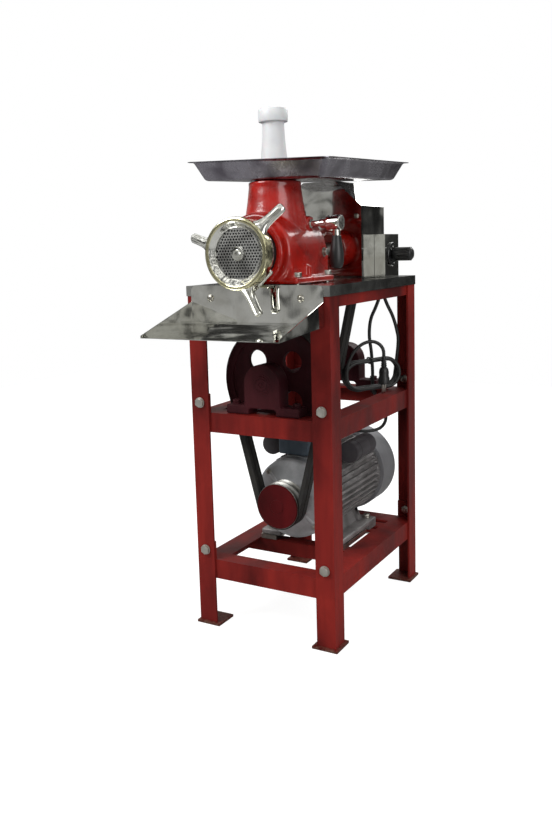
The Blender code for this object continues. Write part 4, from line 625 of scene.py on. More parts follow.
@dataclass(frozen=True)
class Paint:
    """Brushed or sprayed paint over steel, with thick and thin places and a little dirt."""

    name: str
    thin: str
    full: str
    light: str
    roughness: float = 0.42
    coat: float = 0.15
    floor_rust: str | None = None
    grain: float = 0.00035
    shine: float = 0.10

    def make(self) -> bpy.types.Material:
        """Build the material."""
        tree = Tree(self.name)
        patches = tree.noise(0.11, 4.0, (1.0, 1.0, 0.45), 0.6)
        streaks = tree.noise(0.010, 3.0, (1.0, 1.0, 0.10))
        specks = tree.noise(0.0016, 2.0)
        colour = tree.ramp(patches, [(0.34, self.thin), (0.52, self.full), (0.72, self.light)])
        colour = tree.blend(tree.ramp(streaks, [(0.45, 0.0), (0.8, 0.35)]), colour, linear(self.thin))
        colour = tree.blend(tree.ramp(specks, [(0.70, 0.0), (0.78, 0.5)]), colour, linear(self.light))
        if self.floor_rust:
            height = tree.add("ShaderNodeSeparateXYZ", None, {0: tree.place}).outputs[2]
            foot = tree.add("ShaderNodeMapRange", None,
                            {"Value": height, 1: 0.0040, 2: 0.0075, 3: 1.0, 4: 0.0}).outputs[0]
            worn = tree.ramp(tree.noise(0.007, 4.0), [(0.35, self.floor_rust), (0.65, self.thin)])
            colour = tree.blend(foot, colour, worn)
        rough = tree.ramp(patches, [(0.3, self.roughness - 0.07), (0.7, self.roughness + 0.09)])
        relief = tree.bump(tree.noise(0.0022, 3.0), self.grain, 0.5)
        relief = tree.bump(tree.noise(0.016, 2.0), self.grain * 2, 0.5, relief)
        return tree.surface(Base_Color=colour, Roughness=rough, Normal=relief, IOR=1.5,
                            Specular_IOR_Level=self.shine, Coat_Weight=self.coat, Coat_Roughness=0.25)


@dataclass(frozen=True)
class Enamel:
    """Glossy enamel on a casting: slightly wavy, deeper in colour where it is thick."""

    name: str
    deep: str
    full: str
    roughness: float = 0.20
    coat: float = 0.8
    wave: float = 0.0012

    def make(self) -> bpy.types.Material:
        """Build the material."""
        tree = Tree(self.name)
        patches = tree.noise(0.060, 3.0, distortion=0.4)
        dust = tree.noise(0.0009, 2.0)
        colour = tree.ramp(patches, [(0.30, self.deep), (0.62, self.full)])
        colour = tree.blend(tree.ramp(dust, [(0.68, 0.0), (0.80, 0.25)]), colour, linear(self.deep))
        rough = tree.ramp(tree.noise(0.025, 3.0), [(0.3, self.roughness), (0.7, self.roughness + 0.10)])
        relief = tree.bump(tree.noise(0.020, 2.0), self.wave, 0.55)
        relief = tree.bump(tree.noise(0.0018, 2.0), 0.00010, 0.6, relief)
        return tree.surface(Base_Color=colour, Roughness=rough, Normal=relief, IOR=1.52,
                            Specular_IOR_Level=0.3, Coat_Weight=self.coat, Coat_Roughness=0.06,
                            Coat_Normal=relief)


@dataclass(frozen=True)
class Metal:
    """Bare or plated metal with a lay of fine scratches, smudges and slight waviness."""

    name: str
    shade: str
    tarnish: str
    roughness: float
    lay: Point = (1.0, 1.0, 0.02)
    scratch: float = 0.00004
    wave: float = 0.0
    smudge: float = 0.10

    def make(self) -> bpy.types.Material:
        """Build the material."""
        tree = Tree(self.name)
        cloud = tree.noise(0.045, 4.0, distortion=0.5)
        lines = tree.noise(0.0011, 2.0, self.lay)
        colour = tree.ramp(cloud, [(0.32, self.tarnish), (0.60, self.shade)])
        spread = tree.add("ShaderNodeMath", {"operation": "MULTIPLY_ADD"},
                          {0: cloud, 1: self.smudge, 2: self.roughness - self.smudge / 2}).outputs[0]
        rough = tree.add("ShaderNodeMath", {"operation": "MULTIPLY_ADD"},
                         {0: lines, 1: self.smudge / 2, 2: spread}).outputs[0]
        relief = tree.bump(lines, self.scratch, 0.5)
        if self.wave:
            relief = tree.bump(tree.noise(0.070, 1.0), self.wave, 0.6, relief)
        return tree.surface(Base_Color=colour, Metallic=1.0, Roughness=rough, Normal=relief)


@dataclass(frozen=True)
class CastSkin:
    """The sandy skin of an unpainted or thinly painted casting."""

    name: str
    dark: str
    light: str
    metallic: float
    roughness: float = 0.5
    grain: float = 0.0013

    def make(self) -> bpy.types.Material:
        """Build the material."""
        tree = Tree(self.name)
        patches = tree.noise(0.030, 4.0)
        sand = tree.noise(self.grain, 3.0)
        colour = tree.ramp(patches, [(0.3, self.dark), (0.7, self.light)])
        colour = tree.blend(tree.ramp(sand, [(0.30, 0.45), (0.55, 0.0)]), colour, linear(self.dark))
        rough = tree.ramp(sand, [(0.3, self.roughness + 0.1), (0.7, self.roughness - 0.06)])
        relief = tree.bump(sand, 0.00018, 0.7)
        relief = tree.bump(patches, 0.0006, 0.3, relief)
        return tree.surface(Base_Color=colour, Metallic=self.metallic, Roughness=rough, Normal=relief)


@dataclass(frozen=True)
class Moulded:
    """Moulded plastic or rubber, matt or glossy, with a fine even texture."""

    name: str
    shade: str
    dusty: str
    roughness: float
    texture: float = 0.0007
    depth: float = 0.00003
    subsurface: float = 0.0

    def make(self) -> bpy.types.Material:
        """Build the material."""
        tree = Tree(self.name)
        patches = tree.noise(0.035, 3.0)
        colour = tree.ramp(patches, [(0.35, self.shade), (0.75, self.dusty)])
        rough = tree.ramp(patches, [(0.3, self.roughness), (0.7, self.roughness + 0.12)])
        relief = tree.bump(tree.noise(self.texture, 2.0), self.depth, 0.6)
        return tree.surface(Base_Color=colour, Roughness=rough, Normal=relief, IOR=1.49,
                            Subsurface_Weight=self.subsurface, Subsurface_Scale=0.003)


@dataclass(frozen=True)
class BeltCloth:
    """A wrapped V-belt: woven cover in black rubber, rougher and smoother in random patches."""

    name: str
    thread: float = 0.0011

    def make(self) -> bpy.types.Material:
        """Build the material."""
        tree = Tree(self.name)
        weave = []
        for direction in ("X", "Z"):
            wave = tree.add(
                "ShaderNodeTexWave", {"bands_direction": direction},
                {"Vector": tree.place, "Scale": 0.314 / self.thread, "Distortion": 0.4, "Detail": 1.0},
            )
            weave.append(wave.outputs["Fac"])
        cloth = tree.add("ShaderNodeMath", {"operation": "MULTIPLY"}, {0: weave[0], 1: weave[1]}).outputs[0]
        dust = tree.noise(0.018, 4.0)
        colour = tree.ramp(dust, [(0.35, "#141414"), (0.70, "#26241f")])
        rough = tree.ramp(dust, [(0.3, 0.55), (0.7, 0.78)])
        return tree.surface(Base_Color=colour, Roughness=rough, Normal=tree.bump(cloth, 0.00012, 0.6))


class Finishes:
    """Every finish on the machine, each made once when it is first asked for."""

    TABLE = {
        "stand": Paint("oxide_red_brushed_paint", "#491312", "#6e1d1a", "#86251f", 0.46, 0.0, "#5e463b"),
        "casting": Enamel("bright_red_enamel", "#780d07", "#a81509", 0.24, 0.5),
        "maroon": Paint("maroon_machinery_paint", "#1e0a0d", "#351318", "#451b20", 0.50, 0.0),
        "cap_red": Paint("dark_red_pulley_paint", "#38080a", "#4c0b0f", "#5c1013", 0.48, 0.0),
        "mirror": Metal("mirror_polished_stainless", "#d6d6d2", "#bdbcb6", 0.045, (1.0, 1.0, 0.03), 0.000012,
                        0.0016, 0.03),
        "deck": Metal("polished_stainless_deck", "#bcbcba", "#93928f", 0.10, (0.03, 1.0, 1.0), 0.00002,
                      0.0016, 0.08),
        "pan": Metal("satin_stainless_pan", "#8b8890", "#625e66", 0.24, (1.0, 0.03, 1.0), 0.00003, 0.0008,
                     0.10),
        "chrome": Metal("polished_tinned_casting", "#e2e2dd", "#c4c3bb", 0.07, (1.0, 1.0, 1.0), 0.00003,
                        0.0010, 0.06),
        "brassy": Metal("warm_tinned_ring", "#d9d4b0", "#b0ab88", 0.11, (1.0, 1.0, 1.0), 0.00003, 0.0012,
                        0.10),
        "ground": Metal("ground_tool_steel", "#b4b4b1", "#8a8986", 0.32, (1.0, 1.0, 0.05), 0.00005, 0.0,
                        0.12),
        "zinc": Metal("zinc_plated_steel", "#c0bdb6", "#98958c", 0.30, (1.0, 1.0, 1.0), 0.00005, 0.0, 0.14),
        "turned": Metal("turned_steel", "#a09f9b", "#75736e", 0.28, (1.0, 0.04, 1.0), 0.00006, 0.0, 0.14),
        "barrel": CastSkin("dark_cast_iron", "#1c1c1d", "#2f2f30", 0.6, 0.42),
        "aluminium": CastSkin("raw_cast_aluminium", "#9b9c9f", "#c6c7c9", 0.55, 0.44),
        "fins": CastSkin("silver_painted_fins", "#6b6868", "#989595", 0.45, 0.42),
        "motor_grey": Paint("grey_motor_paint", "#5d5d60", "#77777a", "#86868a", 0.40, 0.1),
        "can": Paint("dark_capacitor_paint", "#2e2b2e", "#423f42", "#4f4c4f", 0.42, 0.1),
        "slate": Paint("slate_box_paint", "#48525c", "#5f6a75", "#6e7983", 0.46, 0.05),
        "black": Moulded("black_satin_plastic", "#101011", "#1e1e1f", 0.34),
        "gloss": Moulded("glossy_black_bakelite", "#0c0c0d", "#161617", 0.16, 0.0020, 0.00002),
        "white": Moulded("white_food_grade_plastic", "#dcdcde", "#cfd0d3", 0.42, 0.0012, 0.00004, 0.12),
        "print": Moulded("white_dial_print", "#d8d8d4", "#c9c9c4", 0.5),
        "sheath": Moulded("black_cable_sheath", "#121212", "#232322", 0.44, 0.0010, 0.00005),
        "belt": BeltCloth("black_belt_cloth"),
    }

    def __init__(self) -> None:
        self.made: dict[str, bpy.types.Material] = {}

    def get(self, key: str) -> bpy.types.Material:
        """Find or make a finish.

        Args:
            key: Its key in the table.

        Returns:
            Its material.
        """
        if key not in self.made:
            self.made[key] = self.TABLE[key].make()
        return self.made[key]


@dataclass
class Shop:
    """What every sub-assembly shares: the frame's positions and the finishes."""

    where: Frame = field(default_factory=Frame)
    finishes: Finishes = field(default_factory=Finishes)

    def fit(self, obj: bpy.types.Object, finish: str, body: Body, *nodes: str) -> bpy.types.Object:
        """Finish a piece, hang it on its body and let it stand for the frame's nodes.

        Args:
            obj: The piece.
            finish: The finish's key.
            body: The body that it rides on.
            *nodes: The nodes that it replaces.

        Returns:
            The piece.
        """
        obj.data.materials.clear()
        obj.data.materials.append(self.finishes.get(finish))
        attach(obj, body.value)
        if nodes:
            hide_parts(*nodes)
        log.info("fitted %s on %s", obj.name, body.value)
        return obj

    def turn(self, name: str, profile: Profile, centre: Vector, axis: Axis, sides: int, finish: str,
             body: Body,
             *nodes: str, closed: bool = False) -> None:
        """Turn a piece about its axis, as in Bench.rings(), shade it smooth and fit it."""
        piece = Bench.rings(name, profile, centre, axis, sides, closed)
        self.fit(Bench.smooth(piece), finish, body, *nodes)

    def dress(self, node: str, finish: str, edge: float = 0.0, segments: int = 2) -> None:
        """Give a node that stays its finish and a small edge radius.

        Args:
            node: The node's name.
            finish: The finish's key.
            edge: The radius of its edges.
            segments: Faces across the radius.
        """
        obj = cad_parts[node]
        for slot in obj.material_slots:
            slot.material = self.finishes.get(finish)
        if not obj.material_slots:
            obj.data.materials.append(self.finishes.get(finish))
        if edge > 0:
            bevel = obj.modifiers.new("edge", "BEVEL")
            bevel.width = edge
            bevel.segments = segments
            bevel.limit_method = "ANGLE"
            bevel.angle_limit = math.radians(40)
            bevel.use_clamp_overlap = True
            bevel.harden_normals = True


# ---------------------------------------------------------------- cords
def smooth_path(points: Sequence[Vector], spacing: float) -> list[Vector]:
    """Points at even steps along a smooth curve through the given ones.

    Args:
        points: The route's own points.
        spacing: The step.

    Returns:
        The new points.
    """
    ends = [2 * points[0] - points[1], *points, 2 * points[-1] - points[-2]]
    fine = []
    for before, start, end, after in zip(ends, ends[1:], ends[2:], ends[3:]):
        for step in range(20):
            t = step / 20
            fine.append(
                0.5 * (2 * start + (end - before) * t
                       + (2 * before - 5 * start + 4 * end - after) * t**2
                       + (3 * start - before - 3 * end + after) * t**3)
            )
    fine.append(points[-1].copy())
    lengths = [0.0]
    for a, b in zip(fine, fine[1:]):
        lengths.append(lengths[-1] + (b - a).length)
    count = max(2, round(lengths[-1] / spacing))
    even, index = [], 0
    for step in range(count + 1):
        along = lengths[-1] * step / count
        while index < len(fine) - 2 and lengths[index + 1] < along:
            index += 1
        share = (along - lengths[index]) / (lengths[index + 1] - lengths[index])
        even.append(fine[index].lerp(fine[index + 1], share))
    return even


def path_length(points: Sequence[Vector]) -> float:
    """Length along points."""
    return sum((b - a).length for a, b in zip(points, points[1:]))


@dataclass
class Cords:
    """The mains cord with its hank, tie and plug, and the lead down to the motor."""

    shop: Shop
    radius: float = 0.00375
    gland_x: float = 0.1045
    mains_y: float = 0.162
    lead_y: float = 0.142
    gland_end: float = 0.6837
    shelf: float = 0.4473
    hank_middle: tuple[float, float] = (0.084, 0.136)
    hank_turn: float = 47.0
    hank_reach: float = 0.034
    fold: float = 0.0302
    turns: float = 3.5
    pitch: float = 0.0078
    back: float = -0.0130
    fan: float = 7.0
    arch_r: float = 0.026
    plug_at: tuple[float, float] = (0.118, 0.127)
    plug_r: float = 0.0125
    plug_top: float = 0.0793
    pins: float = 0.019
    straight: float = 0.0217

    @property
    def hank_z(self) -> float:
        """The height of the hank's middle. Its most turned lap rests on the shelf."""
        return self.shelf + self.radius + self.fold + self.hank_reach * math.sin(math.radians(self.fan))

    def spot(self, along: float, across: float, z: float) -> Vector:
        """A place by its distance along and across the hank, and its height."""
        turn = math.radians(self.hank_turn)
        x = self.hank_middle[0] + along * math.cos(turn) + across * math.sin(turn)
        y = self.hank_middle[1] + along * math.sin(turn) - across * math.cos(turn)
        return self.shop.where.at(x, y, z)

    def hank_place(self, point: Vector) -> tuple[float, float]:
        """How far along and across the hank a place in the row frame is."""
        turn = math.radians(self.hank_turn)
        away = point - self.shop.where.at(*self.hank_middle, 0)
        return (away.x * math.cos(turn) + away.y * math.sin(turn),
                away.x * math.sin(turn) - away.y * math.cos(turn))

    def lap(self, way: float) -> tuple[float, float]:
        """A place on one lap of the hank, seen from its middle.

        Args:
            way: How far round, from its right end down and to the left.

        Returns:
            How far along and how high it is.
        """
        straight, half = 2 * self.hank_reach, math.pi * self.fold
        way %= 2 * (straight + half)
        if way < half / 2:
            return (self.hank_reach + self.fold * math.cos(way / self.fold),
                    -self.fold * math.sin(way / self.fold))
        way -= half / 2
        if way < straight:
            return (self.hank_reach - way, -self.fold)
        way -= straight
        if way < half:
            return (-self.hank_reach - self.fold * math.sin(way / self.fold),
                    -self.fold * math.cos(way / self.fold))
        way -= half
        if way < straight:
            return (way - self.hank_reach, self.fold)
        way -= straight
        return (self.hank_reach + self.fold * math.sin(way / self.fold),
                self.fold * math.cos(way / self.fold))

    def hank_line(self) -> list[Vector]:
        """The centre line of the hank's turns, from its right end down to its left end up."""
        line = []
        steps = 30
        lap = 4 * self.hank_reach + math.tau * self.fold
        for step in range(round(self.turns * steps) + 1):
            share = step / steps
            along, rise = self.lap(lap * share)
            lean = math.radians(self.fan) * math.sin(math.pi * share / self.turns)
            line.append(self.spot(along * math.cos(lean) - rise * math.sin(lean),
                                  self.back + self.pitch * share,
                                  self.hank_z + along * math.sin(lean) + rise * math.cos(lean)))
        return line

    def arch(self, plug: Vector) -> list[Vector]:
        """The cord from the hank's left end over to the plug, as two quarters of an ellipse.

        Args:
            plug: Where it runs straight down into the plug.

        Returns:
            Its points.
        """
        end, across = self.hank_place(plug)
        start = -self.hank_reach - self.fold
        front = self.back + self.pitch * self.turns
        peak = end - self.arch_r
        high = plug.z + self.arch_r - self.hank_z
        points = []
        for step in range(1, 17):
            turn = math.pi * (1 - step / 16)
            wide, tall = (peak - start, high) if turn > math.pi / 2 else (self.arch_r, self.arch_r)
            low = high - tall
            share = (1 - math.cos(math.pi * step / 16)) / 2
            points.append(self.spot(peak + wide * math.cos(turn), front + (across - front) * share,
                                    self.hank_z + low + tall * math.sin(turn)))
        return points

    def build(self) -> None:
        """Model the cords and what is on them."""
        at = self.shop.where.at
        start = at(self.gland_x, self.mains_y, self.gland_end)
        down = [
            start, at(self.gland_x, self.mains_y, self.gland_end - self.straight),
            at(0.109, 0.169, 0.640), at(0.118, 0.180, 0.612), at(0.124, 0.188, 0.582),
            at(0.127, 0.190, 0.552),
        ]
        plug = at(*self.plug_at, self.shelf + self.plug_top)
        neck = plug + Vector((0, 0, 0.008))
        line = smooth_path(down + self.hank_line() + self.arch(neck) + [plug], self.radius * 1.6)
        cord = Bench.wire("mains_lead", line, self.radius)
        self.shop.fit(cord, "sheath", Body.STAND, "mains_cord", "mains_hank", "mains_cord_end")
        tie = self.build_tie()
        made = self.build_plug()
        tuple(start)
        log.info("mains lead %.3f m", path_length(line))
        lead = [
            at(self.gland_x, self.lead_y, self.gland_end),
            at(self.gland_x, self.lead_y, self.gland_end - self.straight),
            at(0.094, 0.143, 0.635), at(0.080, 0.146, 0.606), at(0.074, 0.151, 0.570),
            at(0.076, 0.157, 0.530), at(0.077, 0.160, 0.490), at(0.077, 0.161, 0.450),
            at(0.084, 0.169, 0.425), at(0.096, 0.178, 0.400), at(0.098, 0.184, 0.374),
            at(0.086, 0.182, 0.354), at(0.066, 0.166, 0.348), at(0.046, 0.138, 0.352),
            at(0.028, 0.100, 0.358), at(0.017, 0.064, 0.3625), at(0.015, 0.042, 0.363),
            at(0.015, 0.0323, 0.363),
        ]
        supply = Bench.wire("motor_supply_lead", smooth_path(lead, self.radius * 2), self.radius)
        self.shop.fit(supply, "sheath", Body.STAND, "motor_lead")

    def build_tie(self) -> bpy.types.Object:
        """The wire tie round the upper strands of the hank.

        Returns:
            The tie.
        """
        top = self.hank_z + self.fold
        middle = self.back + self.pitch * self.turns / 2
        half_across = self.pitch + self.radius + 0.0019
        half_high = self.radius + 0.0024
        points = []
        for step in range(48):
            turn = math.tau * step / 48
            across = middle + half_across * math.copysign(abs(math.cos(turn)) ** 0.6, math.cos(turn))
            rise = half_high * math.copysign(abs(math.sin(turn)) ** 0.6, math.sin(turn))
            points.append(self.spot(-0.004, across, top + rise))
        obj = Bench.wire("hank_tie", points, 0.0017, 3, closed=True)
        Bench.only(obj)
        bpy.ops.object.convert(target="MESH")
        return self.shop.fit(obj, "black", Body.STAND)

    def build_plug(self) -> bpy.types.Object:
        """The moulded plug: ribbed strain relief, finger grip and two round pins.

        Returns:
            The plug.
        """
        body = self.shelf + self.pins
        grip = [(0, body + 0.060), (self.radius + 0.0008, body + 0.060)]
        for rib in range(5):
            height = body + 0.0585 - rib * 0.0042
            wide = self.radius + 0.0014 + rib * 0.00035
            grip += [(wide, height), (wide, height - 0.0024), (wide - 0.0011, height - 0.0028),
                     (wide - 0.0011, height - 0.0040)]
        grip += [(0.0070, body + 0.0365), (0.0095, body + 0.033), (self.plug_r - 0.0016, body + 0.026),
                 (self.plug_r - 0.0020, body + 0.018), (self.plug_r, body + 0.012),
                 (self.plug_r, body + 0.001), (self.plug_r - 0.001, body), (0, body)]
        centre = self.shop.where.at(*self.plug_at, 0.0)
        plug = Bench.smooth(Bench.rings("plug_body", grip, centre, Axis.UP, 40))
        pins = []
        for side in (-1, 1):
            pin = Bench.rings(f"plug_pin_{side + 1}", [(0, 0.0204), (0.0024, 0.0204), (0.0024, 0.0018),
                                                       (0.0017, 0), (0, 0)],
                              centre + Vector((0, side * 0.006, self.shelf)), Axis.UP, 20)
            pins.append(Bench.smooth(pin))
        made = self.shop.fit(plug, "black", Body.STAND, "mains_plug")
        for pin in pins:
            pin.parent = made
            pin.data.materials.append(self.shop.finishes.get("zinc"))
        return made


# ---------------------------------------------------------------- sub-assemblies
@dataclass
class Stand:
    """The angle-iron stand with its leg bolts, deck, tray and tray screws."""

    shop: Shop
    bolt_x: float = 0.136
    leg_y: float = 0.217
    levels: tuple[float, float] = (0.467, 0.160)
    grip: float = 0.0089
    screw_x: float = 0.099
    screw_z: float = 0.6765
    screw_y: float = -0.2203

    def build(self) -> None:
        """Model the bolts and screws."""
        at = self.shop.where.at
        front = Bench.bolt("leg_bolt", at(0, -self.leg_y - 0.0003, 0), Axis.FRONT, Bolt.LEG, self.grip)
        rear = Bench.bolt("leg_bolt_rear", at(0, self.leg_y + 0.0003, 0), Axis.BACK, Bolt.LEG, self.grip)
        for row, model in (("front", front), ("rear", rear)):
            for hand, side in HANDS:
                for level, height in zip(("shelf", "bed"), self.levels):
                    node = f"leg_bolt_{row}_{hand}_{level}"
                    shift = Vector((side * self.bolt_x, 0, height))
                    self.shop.fit(Bench.copy(model, node + "_piece", shift), "zinc", Body.STAND, node)
            bpy.data.objects.remove(model, do_unlink=True)
        for hand, side in HANDS:
            place = at(side * self.screw_x, self.screw_y, self.screw_z)
            dome = [(0, -0.018), (0.0024, -0.018), (0.0024, 0), (0.0070, 0), (0.0069, 0.0008),
                    (0.0060, 0.0024), (0.0044, 0.0034), (0.0022, 0.0039), (0, 0.0040)]
            head = Bench.rings(f"tray_screw_{hand}_piece", dome, place, Axis.FRONT, 40)
            slot = Bench.block("slot", (side * self.screw_x - 0.009, side * self.screw_x + 0.009),
                               (self.screw_y - 0.006, self.screw_y - 0.0026),
                               (self.screw_z - 0.0006, self.screw_z + 0.0006), self.shop.where)
            Bench.smooth(Bench.combine(head, [slot], "DIFFERENCE"))
            self.shop.fit(head, "zinc", Body.STAND, f"tray_screw_{hand}")

    def dress(self) -> None:
        """Give the frames, legs and sheets their finishes."""
        for row in ("front", "rear"):
            for hand in ("left", "right"):
                self.shop.dress(f"leg_{row}_{hand}", "stand", 0.0007)
        for node in ("top_frame", "shelf_frame", "bottom_frame"):
            self.shop.dress(node, "stand", 0.0007)
        self.shop.dress("deck_sheet", "deck", 0.0005)
        self.shop.dress("discharge_tray", "mirror", 0.0004)


@dataclass
class Grinder:
    """The grinding head: casting, barrel, plate, ring nut, lock ring and clamp."""

    shop: Shop
    head: float = 0.761
    case_r: float = 0.075
    front: float = 0.212
    back: float = 0.052
    throat: float = 0.129
    plate: float = 0.272
    nut_r: float = 0.0665
    arms: tuple[float, float, float] = (44, 164, 284)
    hole_r: float = 0.00205
    hole_pitch: float = 0.0060
    clamp: float = 0.105
    clamp_z: float = 0.814
    lever_angle: float = 311

    def axis_at(self, front: float, height: float | None = None, x: float = 0.0) -> Vector:
        """A place on the grinder's axis, by its distance in front of the stand's middle."""
        return self.shop.where.at(x, -front, self.head if height is None else height)

    def build(self) -> None:
        """Model the head."""
        self.build_casting()
        self.build_fasteners()
        self.build_barrel()
        self.build_plate()
        self.build_ring_nut()
        self.build_lock_ring()
        self.build_clamp()

    def build_casting(self) -> None:
        """The enamelled casting with its bores."""
        where = self.shop.where
        length = self.front - self.back
        deck = 0.7003
        r = self.case_r
        drum = Bench.rings("grinder_casting", [
            (0, 0), (r - 0.009, 0), (r, 0.008), (r, length - 0.005), (r - 0.004, length), (0, length),
        ], self.axis_at(self.back), Axis.FRONT, 64)
        below = Bench.block("below", (-0.12, 0.12), (-0.30, 0.05), (0.60, deck + 0.006), where)
        Bench.combine(drum, [below], "DIFFERENCE")
        pedestal = Bench.block("pedestal", (-r, r), (-0.205, -0.052), (deck + 0.012, self.head), where)
        base = Bench.block("base", (-0.086, 0.086), (-0.207, -0.048), (deck + 0.001, deck + 0.014), where)
        Bench.bevel(base, 0.004, 2)
        throat = Bench.rings("throat",
                             [(0, 0), (0.0640, 0), (0.0612, 0.018), (0.0548, 0.056), (0.0506, 0.088),
                              (0.0512, 0.0915), (0.0512, 0.0965), (0, 0.0965)],
                             self.axis_at(self.throat, 0.800), Axis.UP, 64)
        ridge = Bench.rings("ridge", [(0, 0), (0.020, 0), (0.019, 0.004), (0.012, 0.007), (0, 0.007)],
                            self.axis_at(0.066, self.head + r - 0.012, 0.028), Axis.UP, 32)
        neck = Bench.rings("neck",
                           [(0, 0), (0.042, 0), (0.038, 0.008), (0.038, 0.070), (0.036, 0.072), (0, 0.072)],
                           self.axis_at(self.back), Axis.BACK, 48)
        rim = Bench.rings("rim", [(0, 0), (0.061, 0), (0.057, 0.003), (0.057, 0.0135), (0, 0.0135)],
                          self.axis_at(self.front - 0.006), Axis.FRONT, 64)
        boss = Bench.rings("boss", [(0, 0), (0.017, 0), (0.0145, 0.008), (0.014, 0.0235), (0, 0.0235)],
                           self.axis_at(self.clamp, self.clamp_z, 0.0405), Axis.RIGHT, 32)
        ribs = [
            Bench.block(f"rib_{hand}", x, (-0.150, -0.138), (deck + 0.010, deck + 0.034), where)
            for hand, x in (("left", (-0.083, -0.070)), ("right", (0.070, 0.083)))
        ]
        body = Bench.join("grinder_casting", [drum, pedestal, base, throat, ridge, neck, rim, boss, *ribs])
        Bench.cast(body, 0.0019, 7)
        bores = [
            Bench.drum("socket", 0.0508, (0, 0.070), self.axis_at(0.1672), Axis.FRONT, 64),
            Bench.drum("chamber", 0.0428, (0, 0.120), self.axis_at(0.0615), Axis.FRONT, 48),
            Bench.drum("feed_bore", 0.0433, (0, 0.150), self.axis_at(self.throat), Axis.UP, 48),
            Bench.drum("shaft_bore", 0.0177, (0, 0.100), self.axis_at(0.070), Axis.BACK, 32),
            Bench.drum("pin_bore", 0.0060, (0, 0.030), self.axis_at(self.clamp, self.clamp_z, 0.0455),
                       Axis.RIGHT, 24),
        ]
        cutter = Bench.combine(bores[0], bores[1:4], "UNION")
        Bench.combine(body, [cutter, bores[4]], "DIFFERENCE")
        Bench.smooth(body)
        self.shop.fit(body, "casting", Body.STAND, "grinder_body")

    def build_fasteners(self) -> None:
        """The base bolts, the side bolt and the oil plug."""
        at = self.shop.where.at
        for hand, side in HANDS:
            for number, front in ((1, 0.187), (2, 0.061)):
                name = f"base_bolt_{hand}_{number}"
                bolt = Bench.bolt(name, at(side * 0.075, -front, 0.7146), Axis.UP, Bolt.BASE, 0.0200)
                self.shop.fit(bolt, "zinc", Body.STAND)
        side = Bench.bolt("side_bolt", self.axis_at(0.072, 0.759, self.case_r - 0.0003), Axis.RIGHT,
                          Bolt.SIDE)
        self.shop.fit(side, "zinc", Body.STAND)
        self.shop.turn("oil_plug", [
            (0, 0), (0.0045, 0), (0.0045, 0.006), (0.0058, 0.0062), (0.0058, 0.0105), (0.0036, 0.013),
            (0, 0.0132),
        ], self.axis_at(0.066, self.head + self.case_r - 0.008, 0.028), Axis.UP, 24, "zinc", Body.STAND)

    def build_barrel(self) -> None:
        """The barrel in the casting's socket."""
        rows = [(0.0572, self.plate - 0.0003), (0.0575, self.plate - 0.0009)]
        for turn in range(4):
            high = self.plate - 0.0018 - turn * 0.0026
            rows += [(0.0575, high), (0.0566, high - 0.0008), (0.0575, high - 0.0016)]
        rows += [(0.0575, 0.2590), (0.0565, 0.2585), (0.0506, 0.2585), (0.0500, 0.2578), (0.0500, 0.168),
                 (0.0425, 0.168), (0.0425, 0.2617), (0.0503, 0.2617), (0.0503, self.plate - 0.0003)]
        self.shop.turn("barrel_piece", rows, self.axis_at(0), Axis.FRONT, 96, "barrel", Body.STAND, "barrel",
                       closed=True)

    def build_plate(self) -> None:
        """The grinding plate with its field of holes."""
        plate = Bench.rings("grinding_plate_piece", [
            (0.0098, 0), (0.0490, 0), (0.0500, 0.0008), (0.0500, 0.0094), (0.0494, 0.0100), (0.0098, 0.0100),
        ], self.axis_at(self.plate - 0.010), Axis.FRONT, 128, closed=True)
        drill = Bench.drum("drill", self.hole_r, (-0.002, 0.0135), self.axis_at(self.plate - 0.010),
                           Axis.FRONT, 12)
        drills = []
        reach = round(0.050 / self.hole_pitch)
        for row in range(-reach - 2, reach + 3):
            for column in range(-reach - 2, reach + 3):
                x = (column + row % 2 / 2) * self.hole_pitch
                z = row * self.hole_pitch * math.sqrt(3) / 2
                if 0.0150 < math.hypot(x, z) < 0.0462:
                    drills.append(Bench.copy(drill, f"drill_{len(drills)}", Vector((x, 0, z))))
        bpy.data.objects.remove(drill, do_unlink=True)
        Bench.combine(plate, [Bench.join("drills", drills)], "DIFFERENCE")
        self.shop.fit(Bench.smooth(plate), "ground", Body.STAND, "grinding_plate")
        self.shop.turn("auger_nose", [
            (0, 0), (0.0096, 0), (0.0096, 0.0040), (0.0128, 0.0042), (0.0128, 0.0068), (0.0118, 0.0076),
            (0.0078, 0.0078), (0.0074, 0.0105), (0.0066, 0.0112), (0.0034, 0.0112), (0.0034, 0.0060),
            (0, 0.0060),
        ], self.axis_at(self.plate - 0.0035), Axis.FRONT, 48, "chrome", Body.DRIVE)

